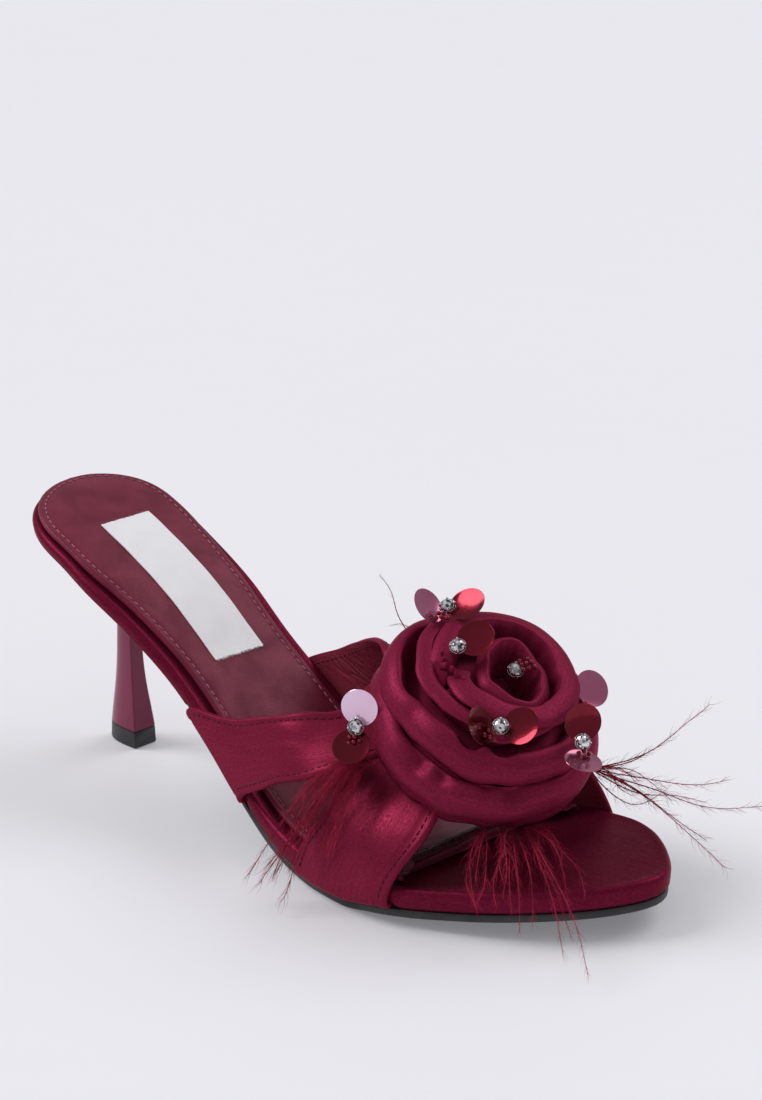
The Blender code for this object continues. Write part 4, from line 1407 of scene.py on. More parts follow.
@dataclass
class Strap:
    """One satin strap over the foot, leather-lined, with turned and stitched edges."""

    name: str
    edges: Table
    lift: float
    seam: float = 0.0
    creases: Table = ()
    rows: int = 110
    across: int = 18
    stitch_in: float = 2.2 * MM
    edge_rise: float = 0.18 * MM
    edge_width: float = 0.9 * MM
    groove: float = 0.22 * MM
    seam_span: Point = (24 * MM, 56 * MM)
    seam_groove: float = 0.32 * MM
    seam_ridge: float = 0.20 * MM
    tuck: Table = ((1.9, 0.0), (0.95, 0.02), (0.30, 0.28), (0.05, 0.80))
    columns: list[list[Vector]] = field(default_factory=list)
    normals: list[list[Vector]] = field(default_factory=list)
    runs: list[list[float]] = field(default_factory=list)

    def place(self, s: float, q: float) -> float:
        """Place along the foot at a share s of the way over it and a share q of the width."""
        return (read_table(self.edges, s, 1) * (1 - q)
                + read_table(self.edges, s, 2) * q) * LAST.length

    def column(self, q: float) -> list[Vector]:
        """Middle line of the strap, from one tucked end to the other.

        Args:
            q: Share of the width, 0 at the back edge and 1 at the front.

        Returns:
            The line's points.
        """
        half = LAST.strap / 2
        ends = []
        for end, side in ((0, -1), (1, 1)):
            x = self.place(end, q)
            y = LAST.edge_y(x, side) + side * (LAST.gap + half)
            z = LAST.under_z(x) + LAST.gap + half
            ends.append([Vector((x, y - side * back * MM, z + up * MM))
                         for back, up in self.tuck])
        arch = []
        for k in range(self.rows + 1):
            s = k / self.rows
            up = self.lift * min(1.0, max(0.0, (sin(pi * s) - 0.35) / 0.3))
            arch.append(LAST.arch_point(self.place(s, q), s, up))
        return ends[0] + arch + list(reversed(ends[1]))

    def lay_out(self) -> None:
        """Work out the middle face, its normals and the run along it."""
        shares = [0.5 - 0.5 * cos(pi * k / self.across) for k in range(self.across + 1)]
        self.columns = [self.column(0.55 * s + 0.45 * k / self.across)
                        for k, s in enumerate(shares)]
        n = len(self.columns[0])
        for c, col in enumerate(self.columns):
            run, line = [0.0], []
            for i in range(n):
                ahead = col[min(i + 1, n - 1)] - col[max(i - 1, 0)]
                over = (self.columns[min(c + 1, self.across)][i]
                        - self.columns[max(c - 1, 0)][i])
                line.append(over.cross(ahead).normalized())
                if i:
                    run.append(run[-1] + (col[i] - col[i - 1]).length)
            self.normals.append(line)
            self.runs.append(run)
        middle = n // 2
        if self.normals[self.across // 2][middle].z < 0:
            self.normals = [[-v for v in line] for line in self.normals]

    def relief(self, c: int, i: int) -> float:
        """Height of the turned edges, the stitch grooves, the seam and the drawn creases.

        Args:
            c: Column of the strap.
            i: Point of the column.

        Returns:
            The height.
        """
        width = (self.columns[-1][i] - self.columns[0][i]).length
        v = (self.columns[c][i] - self.columns[0][i]).length
        u = self.runs[c][i]
        edge = min(v, width - v)
        up = self.edge_rise * bump(edge, self.edge_width, self.edge_width)
        up -= self.groove * bump(edge, self.stitch_in, 0.5 * MM)
        if self.seam and self.seam_span[0] < u < self.seam_span[1]:
            up -= self.seam_groove * bump(width - v, self.seam, 0.50 * MM)
            up += self.seam_ridge * bump(width - v, self.seam - 1.4 * MM, 1.0 * MM)
        for u0, v0, u1, v1, spread, depth in self.creases:
            a, b = Vector((u0 * MM, v0 * width)), Vector((u1 * MM, v1 * width))
            p, d = Vector((u, v)), b - a
            t = min(1.0, max(0.0, (p - a).dot(d) / d.length_squared))
            fade = sin(pi * min(1.0, max(0.0, 0.12 + 0.76 * t)))
            up += depth * MM * fade * bump((p - a - d * t).length, 0.0, spread * MM)
        return up

    def cloth(self) -> Object:
        """The strap as a closed band: satin outside, leather inside, rounded edges.

        Returns:
            The band.
        """
        half = LAST.strap / 2
        shell = Shell()
        n, last = len(self.columns[0]), self.across
        rows = []
        for i in range(n):
            ring = [self.columns[c][i] + self.normals[c][i] * (half + self.relief(c, i))
                    for c in range(last + 1)]
            for c, way in ((last, 1), (0, -1)):
                p, nrm = self.columns[c][i], self.normals[c][i]
                side = (self.columns[last][i] - self.columns[last - 1][i] if way > 0
                        else self.columns[0][i] - self.columns[1][i]).normalized()
                ring += [p + side * half * (sin(a) - 0.3) + nrm * half * cos(a) * way
                         for a in (pi * k / 6 for k in range(1, 6))]
                if way > 0:
                    ring += [self.columns[k][i]
                             - self.normals[k][i] * (half - 0.5 * self.relief(k, i))
                             for k in range(last, -1, -1)]
            rows.append(ring)
        inside = range(last + 6, 2 * last + 6)
        shell.tube(rows, lambda r, c: (self.runs[last // 2][min(r, n - 1)], c * 1.4 * MM),
                   slot=lambda r, c: 1 if c in inside else 0)
        return shell.finish(self.name, SATIN_STRAP, LINING)

    def seam_line(self, inset: float, from_front: bool, outside: bool) -> list[Vector]:
        """Line for stitches along the strap.

        Args:
            inset: Distance in from the edge.
            from_front: Whether from the front edge.
            outside: Whether on the outer face.

        Returns:
            The line's points.
        """
        line = []
        n = len(self.columns[0])
        for i in range(5, n - 5):
            width = (self.columns[-1][i] - self.columns[0][i]).length
            want = width - inset if from_front else inset
            c = min(range(self.across + 1), key=lambda k: abs(
                (self.columns[k][i] - self.columns[0][i]).length - want))
            p0 = self.columns[0][i]
            other = self.columns[max(0, min(self.across, c + 1))][i]
            here = self.columns[c][i]
            gap = (other - p0).length - (here - p0).length
            t = 0.0 if abs(gap) < 1e-6 else (want - (here - p0).length) / gap
            p = here + (other - here) * max(-1.0, min(1.0, t))
            away = LAST.strap / 2 - 0.02 * MM
            line.append(p + self.normals[c][i] * (away if outside else -away - 0.04 * MM))
        return line

    def build(self) -> None:
        """Build and dress the strap and its stitches."""
        self.lay_out()
        carry(self.cloth(), "satin", "straps")
        lines = [self.seam_line(self.stitch_in, front, outside)
                 for front in (False, True) for outside in (False, True)]
        carry(SewnRun.lay(self.name + "_stitches", lines, THREAD_DARK, pitch=2.2 * MM,
                          length=1.75 * MM, width=0.42 * MM, lean=0.10), "satin")


@dataclass(frozen=True)
class Fold:
    """One turn of the rose's folded strip, by its crest and its section.

    A crest row holds an angle, a share of the rose's radius and a lift in mm. Inside and outside
    are a width and a depth in mm. The ruffle holds its reach out and up in mm, and its phase. A
    dent row holds an angle and its spread, a place on the section and its spread, and the pull
    out and up in mm.
    """

    crest: Table
    inside: Point
    outside: Point
    ruffle: tuple[float, float, float]
    span: Point | None = None
    dents: Table = ()


@dataclass
class Rose:
    """Satin strip, folded and wound into a rose over the crossing of the straps."""

    radius: float = 33.0 * MM
    height: float = 34.0 * MM
    lean: float = radians(21.0)
    x: float = 171.0 * MM
    y: float = 5.0 * MM
    lift: float = -1.0 * MM
    steps: int = 216
    folds: tuple[Fold, ...] = (
        Fold(((-174, 0.19, 1.0), (-140, 0.17, 1.0), (-108, 0.18, 0.6), (-80, 0.24, 0.0),
              (-50, 0.31, -0.4), (-28, 0.38, -0.6), (-8, 0.41, -0.6), (13, 0.385, -0.3),
              (40, 0.32, 0.4), (82, 0.28, 1.2), (116, 0.30, 1.6), (140, 0.275, 1.4)),
             (3.0, 12.0), (2.6, 4.6), (0.15, 0.2, 3)),
        Fold(((-128, 0.27, -2.2), (-110, 0.33, -1.0), (-92, 0.395, -0.4),
              (-75, 0.430, 0.0), (-49, 0.448, 0.2), (-25, 0.470, 0.2),
              (0, 0.505, 0.3), (21, 0.50, 0.8), (52, 0.50, 1.6), (89, 0.54, 2.2),
              (120, 0.55, 2.4), (154, 0.54, 2.2), (184, 0.49, 1.6), (214, 0.47, 0.8),
              (235, 0.49, 0.2), (252, 0.53, -1.0)),
             (2.2, 6.5), (5.6, 3.7), (0.20, 0.25, 4), (-128.0, 252.0),
             ((-60, 20, 0.70, 0.15, 0.4, 0.3), (-5, 20, 0.65, 0.2, 0.4, 0.2))),
        Fold(((-160, 0.685, 0.8), (-137, 0.645, 0.4), (-118, 0.628, -0.2),
              (-99, 0.618, -0.7), (-80, 0.618, -0.9), (-65, 0.628, -0.9),
              (-46, 0.645, -0.9), (-25, 0.605, -1.2), (-5, 0.570, -1.4),
              (15, 0.550, -1.4), (37, 0.565, -0.8), (70, 0.61, 0.2), (110, 0.65, 1.0),
              (150, 0.685, 1.4), (178, 0.695, 1.4)),
             (4.0, 7.0), (3.6, 2.8), (0.30, 0.3, 5), None,
             ((-120, 22, 0.70, 0.25, 0.6, 0.3), (-48, 10, 0.72, 0.2, 0.6, 0.2),
              (-66, 8, 0.72, 0.2, -0.6, 0.3))),
        Fold(((-165, 0.885, 5.6), (-145, 0.875, 3.8), (-128, 0.840, 1.6),
              (-112, 0.805, 0.0), (-98, 0.788, -0.5), (-81, 0.782, -0.7),
              (-64, 0.798, -0.8), (-50, 0.808, -0.8), (-36, 0.808, -0.8),
              (-20, 0.798, -0.8), (-2, 0.782, -0.8), (12, 0.755, -0.8),
              (40, 0.745, -0.5), (70, 0.765, 0.0), (110, 0.815, 1.0),
              (150, 0.865, 3.4), (175, 0.885, 5.4)),
             (4.6, 9.5), (4.5, 8.6), (0.30, 0.4, 6), None,
             ((-62, 5.5, 0.31, 0.09, 1.5, -3.0), (-40, 5.0, 0.31, 0.09, 1.4, -2.8),
              (-51, 4.5, 0.34, 0.10, -1.0, 0.8), (-146, 15, 0.18, 0.14, 0.0, -3.0),
              (-116, 9, 0.26, 0.12, 0.8, -2.4), (-80, 10, 0.60, 0.2, 0.5, 0.3),
              (-24, 9, 0.58, 0.2, 0.5, 0.3), (-100, 8, 0.55, 0.25, -0.5, -0.4))),
        Fold(((-150, 0.925, -1.0), (-135, 0.895, -1.8), (-118, 0.895, -2.4),
              (-100, 0.915, -2.8), (-76, 0.925, -3.0), (-41, 0.928, -3.0),
              (-10, 0.900, -3.0), (19, 0.872, -2.6), (45, 0.865, -2.0),
              (90, 0.895, -1.2), (140, 0.925, -0.4), (178, 0.945, -0.4)),
             (3.8, 5.0), (4.1, 9.8), (0.25, 0.3, 7), None,
             ((-82, 6.5, 0.44, 0.16, -1.9, -2.0), (-31, 6.5, 0.44, 0.16, -1.7, -1.9),
              (-57, 7, 0.50, 0.2, 0.8, 0.4), (-68, 4.5, 0.42, 0.12, -1.2, -1.4),
              (-45, 4.0, 0.40, 0.10, -0.7, -0.9), (-100, 9, 0.55, 0.25, 0.6, 0.3),
              (-8, 9, 0.45, 0.2, 0.5, 0.3))),
    )

    def __post_init__(self) -> None:
        """Work out the rose's own frame on the straps."""
        self.n = Vector((sin(self.lean), 0.0, cos(self.lean)))
        self.u = Vector((cos(self.lean), 0.0, -sin(self.lean)))
        self.v = Vector((0.0, 1.0, 0.0))
        self.foot = Vector((self.x, self.y, LAST.strap_z(self.x, self.y)))
        self.o = self.foot + self.n * self.lift

    def point(self, r: float, angle: float, height: float) -> Vector:
        """Point from the rose's own radius, angle and height."""
        return self.at(r * cos(angle), r * sin(angle), height)

    def at(self, a: float, b: float, h: float) -> Vector:
        """Point from the rose's own plane coordinates and height."""
        return self.o + self.u * a + self.v * b + self.n * h

    def dome(self, share: float, angle: float) -> float:
        """Height of the rose's mean form.

        Args:
            share: Share of the rose's radius.
            angle: Way round the rose.

        Returns:
            The height over the rose's foot.
        """
        share = min(share, 0.995)
        # The rear stands higher than the front.
        stand = 1 + 0.22 * share * max(0.0, -cos(angle + 0.2))
        return self.height * 0.80 * (1 - share**3.4) ** 0.60 * stand

    def wind(self, shell: Shell, fold: Fold) -> None:
        """Add one turn of the strip to a shell.

        Args:
            shell: Where the turn goes.
            fold: The turn.
        """
        start, end = fold.span or (fold.crest[0][0], fold.crest[0][0] + 360.0)
        count = int(self.steps * (end - start) / 360.0)
        angles = [start + (end - start) * k / count for k in range(count + 1)]
        if not fold.span:
            angles.pop()
        read = read_table if fold.span else read_round
        w_in, depth = (v * MM for v in fold.inside)
        out, drop = (v * MM for v in fold.outside)
        line = smooth_line([(-w_in, -depth), (-0.86 * w_in, -0.7 * depth),
                            (-0.50 * w_in, -0.26 * depth), (-0.20 * w_in, -0.045 * depth),
                            (0.0, 0.0), (0.30 * out, -0.05 * drop), (0.68 * out, -0.24 * drop),
                            (0.95 * out, -0.52 * drop), (out, -0.76 * drop),
                            (0.82 * out, -0.98 * drop), (0.35 * out, -1.12 * drop - 0.6 * MM),
                            (0.0, -1.12 * drop - 3.6 * MM)], 3)
        amp_r, amp_h, seed = fold.ruffle
        plane = []
        for deg in angles:
            a = radians(deg)
            r = read(fold.crest, deg, 1) * self.radius
            r += amp_r * MM * sin(5 * a + seed) + 0.4 * amp_r * MM * sin(11 * a + seed)
            plane.append(Vector((r * cos(a), r * sin(a))))
        rows, run = [], 0.0
        runs = []
        m = len(angles)
        for k, deg in enumerate(angles):
            a = radians(deg)
            if fold.span:
                before, after = plane[max(k - 1, 0)], plane[min(k + 1, m - 1)]
            else:
                before, after = plane[k - 1], plane[(k + 1) % m]
            ahead = (after - before).normalized()
            side = Vector((ahead.y, -ahead.x))
            share = plane[k].length / self.radius
            rise = (self.dome(share, a) + (2.5 + read(fold.crest, deg, 2)) * MM
                    + amp_h * MM * sin(4 * a + 1.7 * seed))
            close = 1.0
            if fold.span:
                ends = min(deg - start, end - deg)
                close = min(1.0, 0.12 + ends / 18.0)
            row = []
            for j, (dr, dh) in enumerate(line):
                v = j / (len(line) - 1)
                for spot, spread, v0, vs, by_r, by_h in fold.dents:
                    turned = (deg - spot + 180.0) % 360.0 - 180.0
                    pull = bump(turned, 0.0, spread) * bump(v, v0, vs)
                    dr, dh = dr + by_r * MM * pull, dh + by_h * MM * pull
                gather = 0.30 * MM * sin(19 * a + 2.2 * seed + 1.3 * sin(3 * a))
                dr += gather * (bump(v, 0.0, 0.22) + bump(v, 1.0, 0.22))
                p = plane[k] + side * dr * (0.4 + 0.6 * close)
                row.append(self.at(p.x, p.y, rise + dh - (1 - close) * 3.0 * MM))
            rows.append(row)
            run += (plane[k] - plane[k - 1]).length if k else 0.0
            runs.append(run)
        runs.append(run + (plane[0] - plane[-1]).length)
        shell.grid(rows, lambda r, c: (runs[min(r, len(runs) - 1)], c * 0.55 * MM), wrap=True,
                   loop=not fold.span)
        if fold.span:
            shell.cap(rows[0])
            shell.cap(rows[-1])

    def core(self, shell: Shell) -> None:
        """Add the gathered base under the folds, which follows the straps below.

        Args:
            shell: Where the base goes.
        """
        n, rings = 120, 16
        clear = 0.9 * MM + LAST.strap / 2 + 2.5 * LAST.gap
        angles = [2 * pi * i / n for i in range(n)]
        rows = []
        for k in range(rings + 1):
            share = 0.02 + 0.90 * k / rings
            pit = 9.0 * MM * bump(share, 0.0, 0.30)
            rows.append([self.point(share * self.radius, a, self.dome(share, a) - 8.0 * MM - pit)
                         for a in angles])
        for share, drop in ((0.93, 1.2), (0.94, -0.6), (0.92, -2.6), (0.87, -4.0), (0.80, -5.5),
                            (0.7, -8.0), (0.55, -11.0), (0.4, -13.0), (0.25, -15.0),
                            (0.1, -15.4), (0.01, -15.5)):
            row = []
            for a in angles:
                p = self.point(share * self.radius, a, drop * MM)
                fall = max(0.0, p.x / LAST.length - 0.805) * LAST.length * 1.6
                if LAST.edge_y(p.x, -1) < p.y < LAST.edge_y(p.x, 1):
                    p.z = max(p.z, LAST.strap_z(p.x, p.y, clear - fall))
                row.append(p)
            rows.append(row)
        shell.tube(rows, even_uv(1.6, 1.6))

    def raw_end(self, shell: Shell) -> None:
        """Add the strip's crumpled raw end beside the bud.

        Args:
            shell: Where the end goes.
        """
        path = ((0.54, -134, 0.0), (0.56, -127, 0.8), (0.545, -120, 1.0), (0.50, -117, 0.8),
                (0.47, -111, 0.9), (0.46, -104, 0.4), (0.43, -98, 0.2), (0.40, -94, -0.6))
        count = 72
        rows: list[list[Vector]] = [[], [], [], []]
        for k in range(count + 1):
            t = k / count * (len(path) - 1)
            i = min(int(t), len(path) - 2)
            share, deg, up = (path[i][c] + (path[i + 1][c] - path[i][c]) * (t - i)
                              for c in range(3))
            a = radians(deg)
            curl = (sin(k * 0.42) + 0.6 * sin(k * 0.27 + 2)) * 0.55 * MM
            r = share * self.radius
            h = self.dome(share, a) + (1.4 + up) * MM
            tall = (1.7 - 1.2 * k / count) * MM * (1 + 0.40 * sin(k * 0.55 + 1.0))
            for row, (dr, dh) in zip(rows, ((0.0, -2.5 * MM), (curl, tall),
                                            (curl + 0.35 * MM, tall), (0.35 * MM, -2.5 * MM))):
                row.append(self.point(r + dr, a, h + dh))
        shell.grid(rows, even_uv(0.4, 2.0), loop=True)
        shell.cap([row[0] for row in rows])
        shell.cap([row[-1] for row in rows])

    def build(self) -> None:
        """Build and dress the rose."""
        shell = Shell()
        self.core(shell)
        for fold in self.folds:
            self.wind(shell, fold)
        self.raw_end(shell)
        rose = carry(shell.finish("rose_satin", SATIN_ROSE), "satin_rose", "rose")


def node_points(name: str) -> list[Vector]:
    """Different points of a CAD node's mesh, in the row frame.

    Args:
        name: The node's name.

    Returns:
        The points.
    """
    seen = {}
    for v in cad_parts[name].data.vertices:
        seen[tuple(round(c, 6) for c in v.co)] = v.co.copy()
    return list(seen.values())


def mean(points: list[Vector]) -> Vector:
    """Mean of points."""
    return sum(points, Vector()) / len(points)


@dataclass(frozen=True)
class Cluster:
    """One sewn group: which way it faces and which way its first sequin lies.

    The beads hang from the stone by hang, and the group stands off its CAD nodes by move, both in
    mm. Each sequin is turned by its tilt in degrees, and stands off by stand in mm.
    """

    name: str
    face: tuple[float, float, float]
    wing: tuple[float, float, float]
    first: Finish | None
    second: Finish | None
    stone: bool = True
    hang: tuple[float, float, float] | None = (0.0, 0.0, -3.0)
    move: tuple[float, float, float] = (0.0, 0.0, 0.0)
    tilts: Point = (22.0, 22.0)
    stand: float = 0.7
    disc: float = 5.4 * MM
    cut: float = 2.0 * MM

    def out(self) -> Vector:
        """The way the group faces."""
        return Vector(self.face).normalized()

    def across(self) -> Vector:
        """The way across the group's sequins."""
        nrm, along = self.out(), Vector(self.wing)
        return (along - nrm * along.dot(nrm)).normalized().cross(nrm)

    def sequin(self, suffix: str, finish: Finish) -> None:
        """Dished disc with a fine raised rim, in place of its CAD disc.

        Args:
            suffix: a or b, as in the CAD disc's name.
            finish: The disc's foil.
        """
        node = f"sequin_{self.name}_{suffix}"
        nrm = self.out()
        middle = mean(node_points(node)) + (nrm * self.stand + Vector(self.move)) * MM
        tilt = self.tilts[0] if suffix == "a" else -self.tilts[1]
        facing = Matrix.Rotation(radians(tilt), 3, self.across()) @ nrm
        spin = UP.rotation_difference(facing).to_matrix()
        profile = ((0.02, -0.12), (0.30, -0.10), (0.60, -0.02), (0.86, 0.10), (0.95, 0.20),
                   (0.985, 0.22), (1.0, 0.15), (0.985, 0.04), (0.95, 0.0), (0.86, -0.12),
                   (0.60, -0.24), (0.30, -0.32), (0.02, -0.34))
        shell = Shell()
        shell.tube(turned(middle - SHIFT, spin, profile, self.disc, MM, 72), even_uv(0.5, 0.5))
        slot = "sequin_red" if finish is FOIL_RED else "sequin_pale"
        carry(shell.finish(f"paillette_{self.name}_{suffix}", finish, sharp=40), slot, node)

    def jewel(self) -> None:
        """Cut stone in a cup with four claws, in place of its CAD stone."""
        node = "stone_" + self.name
        middle = mean(node_points(node)) - SHIFT + Vector(self.move) * MM
        spin = UP.rotation_difference(self.out()).to_matrix()
        radius, sides = self.cut, 8
        levels = ((0.02, 0.64), (0.52, 0.62), (0.80, 0.44), (0.99, 0.20), (1.0, 0.08),
                  (0.62, -0.32), (0.18, -0.75), (0.02, -0.80))
        shell = Shell()
        rows = turned(middle, spin, levels, radius, radius, sides, 0.5)
        for ring, below in zip(rows, rows[1:]):
            for i in range(sides):
                j = (i + 1) % sides
                a, b, c, d = ring[i], ring[j], below[i], below[j]
                for tri in ((a, b, c), (b, d, c)):
                    shell.cap(list(tri))
        shell.cap(rows[0])
        shell.cap(rows[-1])
        carry(shell.finish("crystal_" + self.name, CRYSTAL_PAINTED_GLINTS, smooth=False), "stone_clear", node)
        cup = Shell()
        wall = ((0.70, -0.95), (1.0, -0.45), (1.10, -0.10), (1.14, -0.02), (1.20, -0.05),
                (1.16, -0.20), (1.08, -0.55), (0.78, -1.05))
        cup.grid(turned(middle, spin, wall, radius, radius, 24), even_uv(1.0, 1.0), wrap=True,
                 loop=True)
        for q in range(4):
            a = pi / 4 + q * pi / 2
            path = ((1.12, -0.5), (1.18, 0.0), (1.12, 0.32), (0.96, 0.50), (0.84, 0.52))
            rows = []
            for r, z in path:
                spot = Vector((radius * r * cos(a), radius * r * sin(a), radius * z))
                rows.append([middle + spin @ (spot + Vector((
                    0.24 * MM * cos(t) * -sin(a) + 0.16 * MM * sin(t)
                    * cos(a), 0.24 * MM * cos(t) * cos(a) + 0.16 * MM
                    * sin(t) * sin(a), 0.10 * MM * sin(t))))
                    for t in (2 * pi * k / 8 for k in range(8))])
            cup.tube(rows, even_uv(1.0, 1.0))
        carry(cup.finish("claws_" + self.name, SILVER), "stone_clear")

    def string(self) -> None:
        """Short strings of glass beads, in place of their CAD string."""
        nrm, fall = self.out(), Vector(self.hang)
        down = (fall - nrm * fall.dot(nrm)).normalized()
        side = nrm.cross(down)
        middle = (mean(node_points("stone_" + self.name)) - SHIFT
                  + (fall + nrm * 0.5 + Vector(self.move)) * MM)
        lines = []
        for k in (-1, 0, 1):
            top = middle + side * 1.45 * MM * k + nrm * (0.6 - 0.4 * abs(k)) * MM
            lines.append([top - down * 1.4 * MM, top, top + down * (1.5 - 0.5 * k) * MM])
        carry(SewnRun.lay("beading_" + self.name, lines, GLASS_BEAD, pitch=1.38 * MM,
                          length=1.40 * MM, width=1.50 * MM, lean=0.3, seed=7),
              "bead_red", "beads_" + self.name)

    def build(self) -> None:
        """Build and dress the group."""
        for suffix, finish in (("a", self.first), ("b", self.second)):
            if finish:
                self.sequin(suffix, finish)
        if self.stone:
            self.jewel()
        if self.hang:
            self.string()


CLUSTERS = (
    Cluster("near", (0.45, -0.80, 0.45), (0.0, 0.2, 1.0), FOIL_PALE, FOIL_RED,
            move=(0.6, -1.0, 0.5)),
    Cluster("back", (0.25, -0.45, 0.85), (-0.7, -0.7, 0.1), FOIL_PINK, FOIL_RED,
            hang=(0.2, -1.6, -2.6), move=(0.0, 0.0, -1.6), tilts=(50.0, 14.0)),
    Cluster("crown", (0.40, -0.50, 0.75), (0.5, 0.7, 0.4), FOIL_RED, None, hang=None,
            move=(0.0, 0.0, -1.6), tilts=(8.0, 0.0)),
    Cluster("bud", (0.45, -0.35, 0.80), (0.0, 0.0, 1.0), None, None, hang=(1.6, 2.4, 1.0),
            move=(0.0, 0.0, -1.6)),
    Cluster("front", (0.55, -0.50, 0.65), (-0.7, -0.7, 0.0), FOIL_RED, FOIL_RED,
            hang=(-1.2, -1.6, -2.4), move=(0.0, 0.0, -1.0), tilts=(46.0, 26.0)),
    Cluster("toe", (0.75, -0.35, 0.55), (0.0, 0.2, 1.0), FOIL_RED, FOIL_PINK,
            move=(0.0, -0.6, -0.3), tilts=(20.0, 44.0)),
    Cluster("inner", (0.70, -0.30, 0.55), (0.4, 0.9, 0.0), None, FOIL_PINK, False, None,
            move=(0.0, -0.8, -0.8), tilts=(0.0, 12.0)),
)


@dataclass
class Bunch:
    """Feather plumes tied under the rim of the rose.

    The root holds a share of the rose's radius, an angle and a drop in mm. A tip row holds a place
    from the rose's foot, and how far the quill's middle is bent out and up, all in mm.
    """

    name: str
    root: tuple[float, float, float]
    tips: Table
    barb: Point = (6.0 * MM, 2.5 * MM)
    spread: float = 0.5
    pitch: float = 0.8 * MM
    extra: int = 1
    seed: int = 1
    scatter: float = 9.0 * MM
    thick: float = 0.014
    fan: float = 0.0
    quill: float = 0.21 * MM
    points: int = 24
    clear: float = 5.0 * MM

    def quills(self, rose: Rose) -> tuple[list[list[Vector]], list[float]]:
        """Lines of the quills and the share along each, from root to tip.

        Args:
            rose: The rose that holds the bunch.

        Returns:
            Each quill's points, and every point's share.
        """
        share, degrees, drop = self.root
        chance = random.Random(self.seed)
        lines, along = [], []
        for n, (fx, fy, fz, out, up) in enumerate(self.tips):
            a = radians(degrees + self.fan * (n / (len(self.tips) - 1) - 0.5))
            root = rose.point(share * rose.radius, a, -drop * MM)
            radial = rose.u * cos(a) + rose.v * sin(a)
            outward = Vector((radial.x, radial.y, 0)).normalized()
            for copy in range(1 + self.extra):
                tip = rose.foot + Vector((fx, fy, fz)) * MM
                size = 1.0
                if copy:
                    size = 0.55 + 0.40 * chance.random()
                    tip = root + (tip - root) * size + Vector([
                        (chance.random() - 0.5) * self.scatter for _ in range(3)])
                mid = (root + tip) / 2 + (outward * out + Vector((0, 0, up))) * 2 * MM * size
                bend = 1.0 + 3.0 * copy / (self.extra + 1)
                mid = mid + Vector([(chance.random() - 0.5) * 4 * MM * bend for _ in range(3)])
                wob = Vector([(chance.random() - 0.5) * 3.2 * MM for _ in range(3)])
                line = []
                for k in range(self.points):
                    t = k / (self.points - 1)
                    p = root * (1 - t) ** 2 + mid * 2 * t * (1 - t) + tip * t**2
                    p = p + wob * sin(2.2 * pi * t) * t
                    p.z = max(p.z, self.clear)
                    line.append(p)
                    along.append(t)
                lines.append(line)
        return lines, along

    def build(self, rose: Rose) -> None:
        """Build and dress the bunch.

        Args:
            rose: The rose that holds the bunch.
        """
        lines, along = self.quills(rose)
        verts, edges = join_lines(lines)
        plumes = run_tree("plumes_" + self.name, verts, edges, Barbs.build(), {
            "Pitch": self.pitch, "Root Length": self.barb[0], "Tip Length": self.barb[1],
            "Spread": self.spread, "Roll": 1.0, "Barb Radius": self.thick,
            "Quill Radius": self.quill, "Seed": self.seed, "Material": PLUME.build()}, along)
        carry(plumes, "feather", "feathers_" + self.name)


BUNCHES = (
    Bunch("near", (0.97, -118, 4.1), (
        (-32, -59, -31, 0, 6), (-30, -58, -35, 0, 5), (-21, -57, -37, 0, 7),
        (-21, -53, -9, 0, 4), (-7, -52, -19, 0, 4), (-19, -51, -5, 0, 3)),
        barb=(8.0 * MM, 4.6 * MM), spread=0.24, pitch=0.34 * MM, extra=3, seed=1,
        scatter=8 * MM, thick=0.012, fan=12.0),
    Bunch("front", (0.925, -23, 3.7), (
        (38, -40, -24, 0, 1), (41, -37, -24, 0, 1), (56, -42, -24, 0, 3), (73, -32, -36, 0, 6),
        (54, -13, -24, 0, 2)),
        barb=(6.5 * MM, 3.2 * MM), spread=0.30, pitch=0.36 * MM, extra=3, seed=2,
        scatter=10 * MM, thick=0.012, fan=30.0),
    Bunch("inner", (1.012, 50, 1.0), (
        (43, 49, 11, 4, -3), (22, 43, -19, 0, 2), (32, 45, -21, 0, 4), (58, 54, -19, 0, -3),
        (35, 38, -21, 0, 2), (48, 42, -15, 0, -4), (60, 37, -31, 0, 4)),
        barb=(4.2 * MM, 4.0 * MM), spread=0.46, pitch=0.50 * MM, extra=1, seed=3),
    Bunch("back", (1.06, 160, -3.0), (
        (-31, -7, 45, 7, 0), (-41, 6, 23, 3, 2), (-28, 15, 29, 6, 2)),
        barb=(2.6 * MM, 2.4 * MM), spread=0.40, pitch=0.8 * MM, extra=0, seed=4),
)

# Edges: share of the way over the foot, rear and front edge as shares of the length
REAR_EDGES: Table = ((0.0, 0.372, 0.477), (0.1, 0.440, 0.544), (0.2, 0.500, 0.603),
                     (0.28, 0.552, 0.637), (0.4, 0.592, 0.677), (0.6, 0.575, 0.722),
                     (0.8, 0.600, 0.765), (1.0, 0.645, 0.806))
FRONT_EDGES: Table = ((0.0, 0.601, 0.759), (0.2, 0.647, 0.789), (0.4, 0.630, 0.765),
                      (0.6, 0.545, 0.690), (0.8, 0.455, 0.590), (1.0, 0.366, 0.483))
